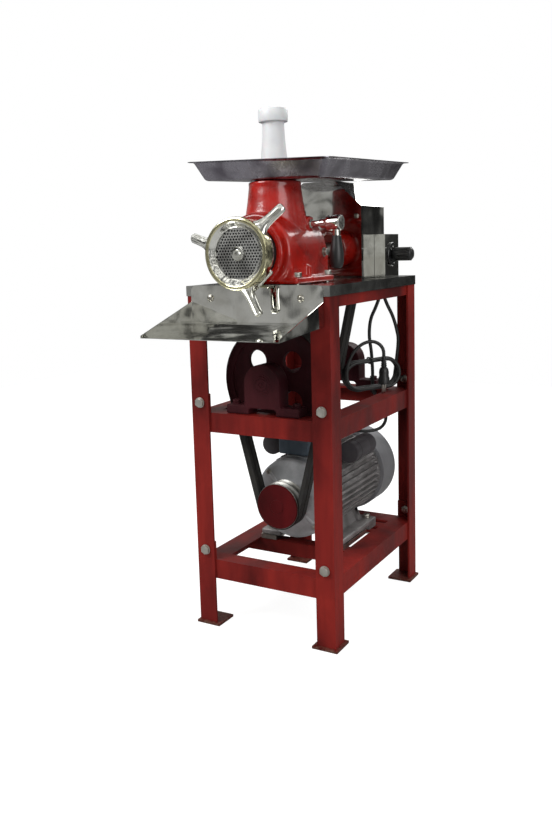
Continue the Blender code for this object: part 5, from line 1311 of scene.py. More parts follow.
    def build_ring_nut(self) -> None:
        """The ring nut with its three swept arms."""
        r = self.nut_r
        rows = [
            (0.0602, 0.2840), (0.0628, 0.2840), (0.0650, 0.2832), (0.0662, 0.2815), (r, 0.2790), (r, 0.2615),
            (0.0660, 0.2590), (0.0650, 0.2580), (0.0586, 0.2580), (0.0578, 0.2588), (0.0578, 0.2826),
            (0.0590, 0.2836),
        ]
        self.shop.turn("ring_nut_piece", rows, self.axis_at(0), Axis.FRONT, 144, "brassy", Body.RING_NUT,
                       "ring_nut", closed=True)
        self.shop.turn("ring_nut_lip", [
            (0.0578, 0.2826), (0.0578, self.plate + 0.0003), (0.0492, self.plate + 0.0003),
            (0.0474, self.plate + 0.0008), (0.0478, self.plate + 0.0022), (0.0500, self.plate + 0.0036),
            (0.0540, 0.2800),
        ], self.axis_at(0), Axis.FRONT, 144, "chrome", Body.RING_NUT, closed=True)
        stations = [
            (0.0205, 0.0092, 0.0, 0.0), (0.0165, 0.0094, 0.0, 0.005), (0.0130, 0.0092, 0.0, 0.011),
            (0.0108, 0.0084, 0.0, 0.018), (0.0098, 0.0077, 0.0, 0.027), (0.0095, 0.0073, 0.0, 0.040),
            (0.0096, 0.0072, 0.0, 0.050), (0.0093, 0.0070, 0.0, 0.0560), (0.0074, 0.0056, 0.0, 0.0592),
            (0.0036, 0.0030, 0.0, 0.0606),
        ]
        middle = 0.271
        made = []
        for number, degrees in enumerate(self.arms):
            turn = math.radians(degrees)
            out = outward(turn)
            way = (out * 0.057 + Vector((0, 0.020, 0))).normalized()
            side = Vector((-math.sin(turn), 0, math.cos(turn)))
            place = upright_frame(side, way, self.axis_at(middle) + out * 0.0612)
            made.append(Bench.limb(f"nut_arm_{number}", stations, place))
        arms = Bench.smooth(Bench.join("ring_nut_arms", made))
        self.shop.fit(arms, "chrome", Body.RING_NUT)

    def build_lock_ring(self) -> None:
        """The ring round the barrel and its short lever."""
        rows = [(0.0553, 0.2520), (0.0565, 0.2508), (0.0565, 0.2392), (0.0553, 0.2380), (0.0506, 0.2380),
                (0.0503, 0.2384), (0.0503, 0.2516), (0.0506, 0.2520)]
        ring = Bench.rings("lock_ring_band", rows, self.axis_at(0), Axis.FRONT, 96, closed=True)
        turn = math.radians(self.lever_angle)
        out = outward(turn)
        side = Vector((-math.sin(turn), 0, math.cos(turn)))
        place = upright_frame(out, side, self.axis_at(0.245) + out * 0.0600)
        lever = Bench.limb("lock_lever", [
            (0.0020, 0.0020, 0, -0.0322), (0.0044, 0.0044, 0, -0.0308), (0.0056, 0.0056, 0, -0.0270),
            (0.0057, 0.0057, 0, -0.0150), (0.0048, 0.0048, 0, 0.0), (0.0052, 0.0052, 0, 0.0150),
            (0.0050, 0.0050, 0, 0.0178), (0.0022, 0.0022, 0, 0.0197),
        ], place)
        made = Bench.smooth(Bench.join("lock_ring_piece", [ring, lever]))
        self.shop.fit(made, "chrome", Body.LOCK_RING, "barrel_lock_ring")

    def build_clamp(self) -> None:
        """The clamp's hub, pin and hanging handle."""
        centre = self.axis_at(self.clamp, self.clamp_z)
        rows = [
            (0, 0.1310), (0.0118, 0.1310), (0.0139, 0.1302), (0.0148, 0.1288), (0.0150, 0.1270),
            (0.0150, 0.1030), (0.0140, 0.1010), (0.0108, 0.0985), (0.0096, 0.0950), (0.0100, 0.0900),
            (0.0092, 0.0872), (0.0062, 0.0865), (0.0060, 0.0660), (0.0088, 0.0658), (0.0088, 0.0645),
            (0.0053, 0.0643), (0.0053, 0.0475), (0, 0.0475),
        ]
        hub = Bench.rings("clamp_hub_piece", rows, centre, Axis.RIGHT, 64)
        stem = Bench.rings("clamp_stem",
                           [(0, 0), (0.0092, 0), (0.0078, 0.006), (0.0072, 0.014), (0.0074, 0.024),
                            (0, 0.024)], self.axis_at(self.clamp, self.clamp_z, 0.119),
                           Axis.DOWN, 40)
        made = Bench.smooth(Bench.join("clamp_hub_piece", [hub, stem]))
        self.shop.fit(made, "chrome", Body.CLAMP, "clamp_hub")
        grip = [
            (0, 0.7897), (0.0080, 0.7897), (0.0087, 0.7890), (0.0092, 0.7840), (0.0104, 0.7760),
            (0.0122, 0.7660), (0.0133, 0.7560), (0.0135, 0.7480), (0.0131, 0.7400), (0.0120, 0.7335),
            (0.0100, 0.7295), (0.0064, 0.7275), (0, 0.7270),
        ]
        self.shop.turn("clamp_handle_piece", grip, self.axis_at(self.clamp, 0, 0.119), Axis.UP, 48, "black",
                       Body.CLAMP, "clamp_handle")

    def dress(self) -> None:
        """Finish what stays of the frame."""
        for node in ("knife", "auger"):
            self.shop.dress(node, "ground", 0.0003)
        self.shop.dress("drive_shaft", "turned", 0.0006)


@dataclass
class Feed:
    """The feed pan and the pusher."""

    shop: Shop
    rim: tuple[float, float] = (0.1574, 0.2046)
    mouth: tuple[float, float] = (0.1454, 0.1926)
    floor: tuple[float, float] = (0.1282, 0.1763)
    depth: float = 0.0355
    corner: float = 0.022
    sheet: float = 0.0012
    centre: tuple[float, float] = (-0.006, 0.942)
    slope: tuple[float, float] = (-0.04, 0.04)
    throat: float = 0.129
    collar_r: float = 0.0396
    collar: float = 0.020

    def build(self) -> None:
        """Model the pan and the pusher."""
        self.build_pan()
        self.build_pusher()

    def build_pan(self) -> None:
        """The pressed pan: a sheet with round corners, inset, drawn down, folded and thickened."""
        bpy.ops.mesh.primitive_plane_add(size=2.0)
        pan = Bench.taken("feed_pan_piece")
        with editing(pan):
            bpy.ops.transform.resize(value=(*self.rim, 1), center_override=(0, 0, 0))
            bpy.ops.mesh.bevel(offset=self.corner, segments=12, affect="VERTICES")
            bpy.ops.mesh.select_all(action="SELECT")
            bpy.ops.mesh.select_mode(type="FACE")
            bpy.ops.mesh.inset(thickness=self.rim[0] - self.mouth[0], depth=0)
            bpy.ops.mesh.extrude_region_move(TRANSFORM_OT_translate={"value": (0, 0, -self.depth)})
            bpy.ops.transform.resize(
                value=(self.floor[0] / self.mouth[0], self.floor[1] / self.mouth[1], 1),
                center_override=(0, 0, -self.depth),
            )
        Bench.bevel(pan, 0.0050, 4, 25)
        Bench.apply(pan, "SOLIDIFY", thickness=self.sheet, offset=-1.0, use_even_offset=True)
        tilt = Matrix.Rotation(math.atan(self.slope[1]), 4, "X")
        tilt = Matrix.Rotation(-math.atan(self.slope[0]), 4, "Y") @ tilt
        ahead = -self.throat - self.centre[0]
        deep = self.slope[1] * ahead - self.depth - self.collar / 2
        hole = tilt.inverted() @ Vector((0, ahead, deep))
        middle = Vector((hole.x, hole.y, 0))
        top = -self.depth
        r = self.collar_r
        cutter = Bench.drum("pan_hole", r, (top - 0.01, top + 0.01), middle, Axis.UP, 64)
        Bench.combine(pan, [cutter], "DIFFERENCE")
        low = top - self.sheet - self.collar
        collar = Bench.rings("pan_collar", [
            (r + 0.0030, top - self.sheet + 0.0002), (r + 0.0016, top - self.sheet - 0.0020),
            (r + self.sheet, top - 0.006), (r + self.sheet, low), (r, low), (r, top - 0.0002),
            (r + 0.0010, top),
        ], middle, Axis.UP, 64, closed=True)
        pan = Bench.join("feed_pan_piece", [pan, collar])
        pan.matrix_world = Matrix.Translation(self.shop.where.at(0, *self.centre)) @ tilt
        Bench.smooth(Bench.settle(pan))
        self.shop.fit(pan, "pan", Body.PAN, "feed_pan")

    def build_pusher(self) -> None:
        """The turned white pusher."""
        rows = [
            (0, 1.0340), (0.0262, 1.0340), (0.0276, 1.0334), (0.0284, 1.0320), (0.0284, 1.0106),
            (0.0278, 1.0094), (0.0262, 1.0090), (0.0222, 1.0088), (0.0210, 1.0070), (0.0212, 0.9980),
            (0.0222, 0.9760), (0.0238, 0.9580), (0.0255, 0.9420), (0.0292, 0.9000), (0.0344, 0.8300),
            (0.0350, 0.8210), (0.0350, 0.8020), (0.0340, 0.8013), (0, 0.8013),
        ]
        self.shop.turn("pusher_piece", rows, self.shop.where.at(0, -self.throat, 0), Axis.UP, 72, "white",
                       Body.PUSHER, "pusher")


@dataclass
class Drive:
    """Belts, pulleys, countershaft and bearing blocks."""

    shop: Shop
    counter: float = 0.508
    motor: float = 0.2505
    head: float = 0.761
    lower_y: float = -0.135
    upper_y: float = 0.089
    width: float = 0.038
    pitch: float = 0.0185
    radii: tuple[float, float, float, float] = (0.047, 0.112, 0.030, 0.086)
    block_y: float = 0.186
    shelf: float = 0.4473

    def build(self) -> None:
        """Model the drive."""
        motor_r, big_r, small_r, top_r = self.radii
        where = self.shop.where
        self.build_belts("lower", self.lower_y, self.motor, self.counter, motor_r, big_r)
        self.build_belts("upper", self.upper_y, self.counter, self.head, small_r, top_r)
        big = self.pulley("big_pulley_piece", big_r, 0.0128, self.lower_y, self.counter, 0.004, 0.026)
        holes = []
        for index in range(4):
            turn = math.tau * (index + 0.5) / 4
            centre = where.at(0.056 * math.cos(turn), self.lower_y - 0.030,
                              self.counter + 0.056 * math.sin(turn))
            holes.append(Bench.drum(f"web_hole_{index}", 0.021, (0, 0.06), centre, Axis.BACK, 40))
        Bench.combine(big, [Bench.join("web_holes", holes)], "DIFFERENCE")
        self.shop.fit(Bench.smooth(Bench.bevel(big, 0.0007, 2, 35)), "maroon", Body.COUNTERSHAFT,
                      "big_pulley")
        small = self.pulley("small_pulley_piece", small_r, 0.0128, self.upper_y, self.counter, None, 0)
        self.shop.fit(Bench.smooth(small), "maroon", Body.COUNTERSHAFT, "small_pulley")
        drive = self.pulley("motor_pulley_piece", motor_r, 0.0143, self.lower_y, self.motor, None, 0)
        self.shop.fit(Bench.smooth(drive), "turned", Body.MOTOR, "motor_pulley")
        face = where.at(0, self.lower_y - self.width / 2 - 0.0001, self.motor)
        self.shop.turn("motor_pulley_face", [
            (0, 0), (0.0460, 0), (0.0458, 0.0012), (0.0450, 0.0022), (0.0150, 0.0024), (0.0142, 0.0032),
            (0.0100, 0.0034), (0.0060, 0.0030), (0, 0.0030),
        ], face, Axis.FRONT, 96, "cap_red", Body.MOTOR)
        top = self.pulley("top_pulley_piece", top_r, 0.0173, self.upper_y, self.head, 0.0, 0.032)
        self.shop.fit(Bench.smooth(top), "turned", Body.DRIVE, "top_pulley")
        self.shop.turn("countershaft_piece", [
            (0, -0.207), (0.0035, -0.207), (0.0035, -0.2045), (0.0045, -0.207), (0.0115, -0.207),
            (0.0125, -0.206), (0.0125, 0.206), (0.0115, 0.207), (0, 0.207),
        ], where.at(0, 0, self.counter), Axis.BACK, 48, "maroon", Body.COUNTERSHAFT, "countershaft")
        self.build_blocks()

    def groove_rows(self, radius: float) -> list[tuple[float, float]]:
        """The rim of a two-groove pulley from its rear edge to its front edge."""
        half = self.width / 2
        slope = (0.0160 - 0.0095) / 2 / 0.0105
        half_top = 0.0080 - slope * 0.0022 + 0.0004
        half_base = half_top - slope * 0.0100
        rows = [(radius - 0.0006, half), (radius, half - 0.0006)]
        for centre in (self.pitch / 2, -self.pitch / 2):
            rows += [(radius, centre + half_top + 0.0002), (radius - 0.0003, centre + half_top),
                     (radius - 0.0100, centre + half_base), (radius - 0.0100, centre - half_base),
                     (radius - 0.0003, centre - half_top), (radius, centre - half_top - 0.0002)]
        return [*rows, (radius, 0.0006 - half), (radius - 0.0006, -half)]

    def pulley(self, name: str, radius: float, bore: float, y: float, z: float, recess: float | None,
               hub: float) -> bpy.types.Object:
        """A two-groove pulley.

        Args:
            name: The piece's name.
            radius: The rim's radius.
            bore: The bore's radius.
            y: The middle of its width.
            z: Its axis.
            recess: How deep the web lies behind its front face. None is a solid pulley.
            hub: The hub's radius.

        Returns:
            The piece.
        """
        half = self.width / 2
        rows = self.groove_rows(radius)
        if recess is None:
            rows += [(bore, -half), (bore, half)]
        else:
            inner = radius - 0.016
            web = -half + recess
            if recess > 0:
                rows += [(inner, -half), (inner - 0.001, web), (hub + 0.001, web), (hub, -half)]
            rows += [(bore, -half), (bore, half), (hub, half), (hub + 0.002, web + 0.012),
                     (inner - 0.002, web + 0.012), (inner, half)]
        return Bench.rings(name, rows, self.shop.where.at(0, y, z), Axis.BACK, 112, closed=True)

    def build_belts(self, prefix: str, y: float, low_z: float, high_z: float, low_r: float,
                    high_r: float) -> None:
        """Two V-belts, each a circle whose upper part is drawn out to the upper pulley."""
        low, high = low_r + 0.0022, high_r + 0.0022
        span = high_z - low_z
        lean = math.asin((high - low) / span)
        section = [(0.0, -0.0078), (0.0, 0.0078), (-0.0003, 0.0080), (-0.0012, 0.0079), (-0.0102, 0.0049),
                   (-0.0105, 0.0045), (-0.0105, -0.0045), (-0.0102, -0.0049), (-0.0012, -0.0079),
                   (-0.0003, -0.0080)]
        bpy.ops.mesh.primitive_circle_add(vertices=160, radius=low, rotation=(math.pi / 2, 0, 0))
        belt = Bench.settle(Bench.taken(f"{prefix}_belt"))
        with editing(belt):
            self.pick(belt, lambda co: math.atan2(co.z, abs(co.x)) >= -lean - 0.005)
            bpy.ops.transform.translate(value=(0, 0, span))
            bpy.ops.transform.resize(value=(high / low, 1, high / low), center_override=(0, 0, span))
            bpy.ops.mesh.select_all(action="SELECT")
            bpy.ops.transform.translate(value=(0, section[0][1], 0))
            for before, after in zip(section, section[1:]):
                bpy.ops.mesh.extrude_region_move(
                    TRANSFORM_OT_translate={"value": (0, after[1] - before[1], 0)}
                )
                ring = self.chosen(belt)
                for centre, radius, upper in ((0.0, low, False), (span, high, True)):
                    self.pick(belt, lambda co, upper=upper: (co.z > span / 2) == upper, ring)
                    share = (radius + after[0]) / (radius + before[0])
                    bpy.ops.transform.resize(value=(share, 1, share), center_override=(0, 0, centre))
                self.pick(belt, lambda co: True, ring)
            Bench.select_open()
            bpy.ops.mesh.bridge_edge_loops()
            Bench.face_out()
        for number, offset in ((1, -self.pitch / 2), (2, self.pitch / 2)):
            node = f"{prefix}_belt_{number}"
            shift = self.shop.where.at(0, y + offset, low_z)
            piece = Bench.smooth(Bench.copy(belt, node + "_piece", shift))
            self.shop.fit(piece, "belt", Body.STAND, node)
        bpy.data.objects.remove(belt, do_unlink=True)

    @staticmethod
    def chosen(obj: bpy.types.Object) -> set[int]:
        """The numbers of a mesh's selected corners, in edit mode."""
        mesh = bmesh.from_edit_mesh(obj.data)
        mesh.verts.index_update()
        return {corner.index for corner in mesh.verts if corner.select}

    @staticmethod
    def pick(obj: bpy.types.Object, wanted: Callable[[Vector], bool], among: set[int] | None = None) -> None:
        """Select corners by their place, in edit mode.

        Args:
            obj: The mesh object.
            wanted: Whether a place is wanted.
            among: The numbers of the corners that may be selected.
        """
        bpy.ops.mesh.select_all(action="DESELECT")
        mesh = bmesh.from_edit_mesh(obj.data)
        mesh.verts.index_update()
        for corner in mesh.verts:
            corner.select = (among is None or corner.index in among) and wanted(corner.co)
        mesh.select_flush_mode()
        bmesh.update_edit_mesh(obj.data)

    def build_blocks(self) -> None:
        """The two cast bearing blocks with their foot bolts and bearing ends."""
        where = self.shop.where
        for name, end in (("front_bearing_block", -1), ("rear_bearing_block", 1)):
            middle = end * self.block_y
            y = (middle - 0.0185, middle + 0.0185)
            foot = Bench.block(name + "_piece", (-0.0815, 0.0815), y,
                               (self.shelf + 0.0003, self.shelf + 0.018), where)
            arch = Bench.block("arch", (-0.031, 0.031), (y[0] - 0.01, y[1] + 0.01),
                               (self.shelf - 0.01, self.shelf + 0.013), where)
            Bench.bevel(arch, 0.006, 3)
            Bench.combine(foot, [arch], "DIFFERENCE")
            upright = Bench.block("upright", (-0.0395, 0.0395), y, (self.shelf + 0.0135, self.counter), where)
            crown = Bench.drum("crown", 0.0395, (-0.0185, 0.0185), where.at(0, middle, self.counter),
                               Axis.BACK, 64)
            block = Bench.join(name + "_piece", [foot, upright, crown])
            Bench.cast(block, 0.0013, 5)
            bore = Bench.drum("bore", 0.0205, (-0.03, 0.03), where.at(0, middle, self.counter), Axis.BACK, 64)
            Bench.combine(block, [bore], "DIFFERENCE")
            Bench.smooth(block)
            self.shop.fit(block, "maroon", Body.STAND, name)
            self.shop.turn(name + "_bearing", [
                (0.0129, -0.0200), (0.0165, -0.0200), (0.0170, -0.0190), (0.0204, -0.0188), (0.0204, 0.0188),
                (0.0170, 0.0190), (0.0165, 0.0200), (0.0129, 0.0200),
            ], where.at(0, middle, self.counter), Axis.BACK, 64, "maroon", Body.STAND, closed=True)
            for hand, side in HANDS:
                bolt = Bench.bolt(f"{name}_bolt_{hand}", where.at(side * 0.068, middle, self.shelf + 0.0178),
                                  Axis.UP, Bolt.FOOT, 0.0225)
                self.shop.fit(bolt, "maroon", Body.STAND)


@dataclass
class Motor:
    """The finned motor with its feet, shields, boxes and capacitors."""

    shop: Shop
    axis: float = 0.2505
    front: float = -0.060
    back: float = 0.175
    fin_root: float = 0.0815
    fin_tip: float = 0.0900
    fins: int = 40
    bed: float = 0.140
    bolt_x: float = 0.080
    bolt_y: tuple[float, float] = (-0.039, 0.110)

    def build(self) -> None:
        """Model the motor."""
        self.build_housing()
        self.build_shield()
        self.build_cowl()
        self.build_rotor()
        self.build_terminal_box()
        self.build_capacitors()

    def place(self, y: float) -> Vector:
        """A place on the motor's axis."""
        return self.shop.where.at(0, y, self.axis)

    def build_housing(self) -> None:
        """The finned housing with bands, gussets and feet, and its foot bolts."""
        where = self.shop.where
        length = self.back - self.front
        shell = Bench.fluted("motor_housing_piece", (self.fin_root, self.fin_tip), self.fins,
                             (0.010, length - 0.010), self.place(self.front), Axis.BACK)
        bands = [
            Bench.rings(f"band_{number}", [(0, start), (0.0862, start), (0.0872, start + 0.001),
                                           (0.0872, start + 0.012), (0.0850, start + 0.0135),
                                           (0, start + 0.0135)],
                        self.place(self.front), Axis.BACK, 96)
            for number, start in enumerate((0.0, length - 0.0135))
        ]
        body = Bench.combine(shell, bands, "UNION")
        saddles = []
        for hand, side in HANDS:
            reach = (self.bolt_y[0] - 0.018, self.bolt_y[1] + 0.014)
            x = sorted((side * 0.050, side * 0.097))
            foot = Bench.block(f"foot_{hand}", tuple(x), reach, (self.bed + 0.0103, self.bed + 0.0217), where)
            saddles.append(Bench.bevel(foot, 0.003, 3))
            pad = Bench.block(f"pad_{hand}", tuple(sorted((side * 0.062, side * 0.0965))),
                              (self.bolt_y[1] - 0.022, self.bolt_y[1] + 0.0135),
                              (self.bed + 0.0006, self.bed + 0.013), where)
            saddles.append(Bench.bevel(pad, 0.001, 2))
            low = where.at(side * 0.064, 0, self.bed + 0.018)
            high = where.at(side * 0.047, 0, self.axis - 0.050)
            way = (high - low).normalized()
            across = Vector((0, 1, 0))
            for number, (y, half) in enumerate(((-0.015, 0.007), (0.084, 0.007), (0.035, 0.070))):
                frame_at = Matrix((across.cross(way), across, way)).transposed().to_4x4()
                frame_at.translation = low + Vector((0, y, 0))
                thick = 0.013 if number < 2 else 0.006
                span = (high - low).length
                web = Bench.slab(f"web_{hand}_{number}", frame_at @ Matrix.Translation((0, 0, span / 2)),
                                 (2 * thick, 2 * half, span))
                saddles.append(Bench.bevel(web, 0.002, 2))
        Bench.combine(body, saddles, "UNION")
        stator = Bench.rings("stator", [(0, -0.01), (0.0567, -0.01), (0.0567, length - 0.010),
                                        (0.0146, length - 0.0098), (0.0146, length + 0.01),
                                        (0, length + 0.01)],
                             self.place(self.front), Axis.BACK, 48)
        Bench.combine(body, [stator], "DIFFERENCE")
        Bench.bevel(body, 0.0005, 2, 40)
        self.shop.fit(Bench.smooth(body), "fins", Body.STAND, "motor_housing")
        for hand, side in HANDS:
            for number, y in enumerate(self.bolt_y):
                name = f"motor_bolt_{hand}_{number}"
                bolt = Bench.bolt(name, where.at(side * self.bolt_x, y, self.bed + 0.0218), Axis.UP,
                                  Bolt.FOOT, 0.0262)
                self.shop.fit(bolt, "zinc", Body.STAND)

    def build_shield(self) -> None:
        """The front end shield with its rim, hub, ribs and screws."""
        rows = [
            (0.0300, 0.1080), (0.0325, 0.1074), (0.0338, 0.1050), (0.0345, 0.0995), (0.0400, 0.0975),
            (0.0600, 0.0950), (0.0740, 0.0935), (0.0815, 0.0912), (0.0846, 0.0880), (0.0850, 0.0840),
            (0.0850, 0.0700), (0.0868, 0.0695), (0.0868, 0.0603), (0.0780, 0.0603), (0.0750, 0.0780),
            (0.0260, 0.0820), (0.0260, 0.0603), (0.0143, 0.0603), (0.0143, 0.1072), (0.0180, 0.1080),
        ]
        shield = Bench.rings("motor_shield_piece", rows, self.place(0), Axis.FRONT, 112, closed=True)
        ribs = []
        for number in range(4):
            turn = math.tau * (number + 0.5) / 4
            out = outward(turn)
            start = self.place(-0.0930) + out * 0.036
            end = self.place(-0.0885) + out * 0.080
            ribs.append(Bench.rod(f"rib_{number}", start, end, (0.0058, 0.0066), 20))
        Bench.combine(shield, ribs, "UNION")
        self.shop.fit(Bench.smooth(Bench.bevel(shield, 0.0006, 2, 40)), "aluminium", Body.STAND,
                      "motor_front_shield")
        for number in range(4):
            turn = math.tau * (number + 0.5) / 4
            at = self.place(-0.0938) + outward(turn) * 0.0745
            bolt = Bench.bolt(f"shield_bolt_{number}", at, Axis.FRONT, Bolt.SHIELD)
            self.shop.fit(bolt, "zinc", Body.STAND)

    def build_cowl(self) -> None:
        """The pressed fan cowl with its ring of slots."""
        rows = [
            (0.0120, 0.2550), (0.0830, 0.2550), (0.0880, 0.2543), (0.0920, 0.2520), (0.0942, 0.2480),
            (0.0950, 0.2420), (0.0950, 0.1753), (0.0845, 0.1753), (0.0845, 0.1766), (0.0935, 0.1768),
            (0.0935, 0.2420), (0.0927, 0.2475), (0.0908, 0.2508), (0.0875, 0.2529), (0.0830, 0.2535),
            (0.0120, 0.2535),
        ]
        cowl = Bench.rings("fan_cowl_piece", rows, self.place(0), Axis.BACK, 96, closed=True)
        slots = []
        for ring_r, count, size in ((0.034, 12, (0.005, 0.008, 0.012)), (0.060, 24, (0.005, 0.008, 0.016))):
            for number in range(count):
                turn = math.tau * number / count
                place = Matrix.Translation(self.place(0.254)) @ Matrix.Rotation(turn, 4, "Y")
                slots.append(Bench.slab(f"slot_{len(slots)}", place @ Matrix.Translation((0, 0, ring_r)),
                                        size))
        Bench.combine(cowl, [Bench.join("slots", slots)], "DIFFERENCE")
        self.shop.fit(Bench.smooth(cowl), "motor_grey", Body.STAND, "motor_fan_cowl")

    def build_rotor(self) -> None:
        """The shaft with the rotor's core and the fan."""
        rows = [
            (0, -0.1540), (0.0128, -0.1540), (0.0140, -0.1528), (0.0140, -0.0300), (0.0555, -0.0300),
            (0.0555, 0.1400), (0.0140, 0.1400), (0.0140, 0.1890), (0.0200, 0.1890), (0.0200, 0.2050),
            (0.0780, 0.2050), (0.0780, 0.2080), (0.0200, 0.2080), (0.0200, 0.2110), (0, 0.2110),
        ]
        shaft = Bench.rings("rotor_piece", rows, self.place(0), Axis.BACK, 64)
        blades = []
        for number in range(6):
            turn = Matrix.Rotation(math.tau * number / 6, 4, "Y")
            place = Matrix.Translation(self.place(0.1975)) @ turn @ Matrix.Translation((0, 0, 0.047))
            blade = Bench.slab(f"blade_{number}", place, (0.002, 0.016, 0.058))
            blades.append(Bench.bevel(blade, 0.0006, 2))
        rotor = Bench.smooth(Bench.join("rotor_piece", [shaft, *blades]))
        self.shop.fit(rotor, "turned", Body.MOTOR, "motor_rotor")

    def build_terminal_box(self) -> None:
        """The terminal box with its lid, screws and cable gland."""
        where = self.shop.where
        low = self.axis + self.fin_tip + 0.0003
        case = Bench.block("terminal_box_piece", (-0.036, 0.036), (-0.080, 0.020), (low, low + 0.0435), where)
        Bench.bevel(case, 0.004, 3)
        lid = Bench.block("lid", (-0.038, 0.038), (-0.082, 0.022), (low + 0.0432, low + 0.0500), where)
        Bench.bevel(lid, 0.0022, 3)
        gland = Bench.rings("lead_gland",
                            [(0, 0), (0.0085, 0), (0.0085, 0.003), (0.0074, 0.0032), (0.0074, 0.008),
                             (0.0062, 0.0118), (0.0042, 0.0120), (0, 0.0120)],
                            where.at(0.015, 0.020, 0.363), Axis.BACK, 32)
        box = Bench.smooth(Bench.join("terminal_box_piece", [case, lid, gland]))
        self.shop.fit(box, "slate", Body.STAND, "terminal_box")
        for number, (x, y) in enumerate(((-0.031, -0.075), (0.031, -0.075), (-0.031, 0.015), (0.031, 0.015))):
            rows = [(0, 0), (0.0040, 0), (0.0036, 0.0013), (0.0018, 0.0019), (0, 0.0020)]
            self.shop.turn(f"lid_screw_{number}", rows, where.at(x, y, low + 0.0499), Axis.UP, 24, "zinc",
                           Body.STAND)

    def build_capacitors(self) -> None:
        """The two capacitors, each in its drawn can with a strap round it."""
        where = self.shop.where
        for hand, side in HANDS:
            rows = [(0, -0.012), (0.0200, -0.012), (0.0218, -0.0112), (0.0228, -0.009), (0.0230, -0.006),
                    (0.0230, 0.0820), (0.0228, 0.0850), (0.0218, 0.0872), (0.0200, 0.0880), (0, 0.0880)]
            can = Bench.rings(f"capacitor_{hand}_piece", rows, where.at(side * 0.093, 0, 0.340), Axis.BACK,
                              64)
            straps = [
                Bench.rings(f"strap_{number}",
                            [(0.0226, y), (0.0234, y), (0.0234, y + 0.010), (0.0226, y + 0.010)],
                            where.at(side * 0.093, 0, 0.340), Axis.BACK, 64, closed=True)
                for number, y in enumerate((0.010, 0.056))
            ]
            made = Bench.smooth(Bench.join(f"capacitor_{hand}_piece", [can, *straps]))
            self.shop.fit(made, "can", Body.STAND, f"capacitor_{hand}")

    def dress(self) -> None:
        """Finish the packing strips."""
        for hand in ("left", "right"):
            self.shop.dress(f"packing_strip_{hand}", "zinc", 0.0005)


@dataclass
class Control:
    """The belt guard and the switch box with its rotary switch."""

    shop: Shop
    knob_y: float = 0.168
    knob_z: float = 0.7485
    face: float = 0.1223
    plate_r: float = 0.026
    knob_r: float = 0.015

    def build(self) -> None:
        """Model the dial plate and the knob."""
        centre = self.shop.where.at(self.face, self.knob_y, self.knob_z)
        self.shop.turn("dial_plate_piece", [
            (0.0070, 0), (self.plate_r, 0), (self.plate_r, 0.0024), (self.plate_r - 0.0008, 0.0034),
            (self.plate_r - 0.0016, 0.0035), (0.0200, 0.0035), (0.0196, 0.0030), (0.0070, 0.0030),
        ], centre, Axis.RIGHT, 72, "gloss", Body.STAND, "switch_dial_plate", closed=True)
        marks = []
        for number in range(3):
            turn = math.radians(45 * number - 45)
            way = Vector((0, math.sin(turn), math.cos(turn)))
            start = centre + Vector((0.0032, 0, 0)) + way * 0.0150
            marks.append(Bench.rod(f"mark_{number}", start, start + way * 0.0036, (0.0006, 0.0006), 12))
        self.shop.fit(Bench.join("dial_marks", marks), "print", Body.STAND)
        stem = [(0, -0.0108), (0.0060, -0.0108), (0.0060, 0.0042), (0.0108, 0.0044), (0.0110, 0.0100),
                (0, 0.0100)]
        base = Bench.rings("knob_base", stem, centre, Axis.RIGHT, 48)
        grip = Bench.fluted("knob_grip", (self.knob_r - 0.0013, self.knob_r - 0.0002), 12, (0.0085, 0.0440),
                            centre, Axis.RIGHT, (0.5, 0.6))
        cap = Bench.rings("knob_cap",
                          [(0, 0.0430), (self.knob_r - 0.0012, 0.0430), (self.knob_r - 0.0020, 0.0455),
                           (self.knob_r - 0.0048, 0.0480), (0.0060, 0.0494), (0, 0.0496)],
                          centre, Axis.RIGHT, 48)
        knob = Bench.combine(grip, [base, cap], "UNION")
        Bench.bevel(knob, 0.0005, 2, 30)
        self.shop.fit(Bench.smooth(knob), "black", Body.KNOB, "switch_knob")

    def dress(self) -> None:
        """Finish the sheet-metal cases."""
        self.shop.dress("belt_guard", "mirror", 0.0008)
        self.shop.dress("switch_box", "mirror", 0.0008)


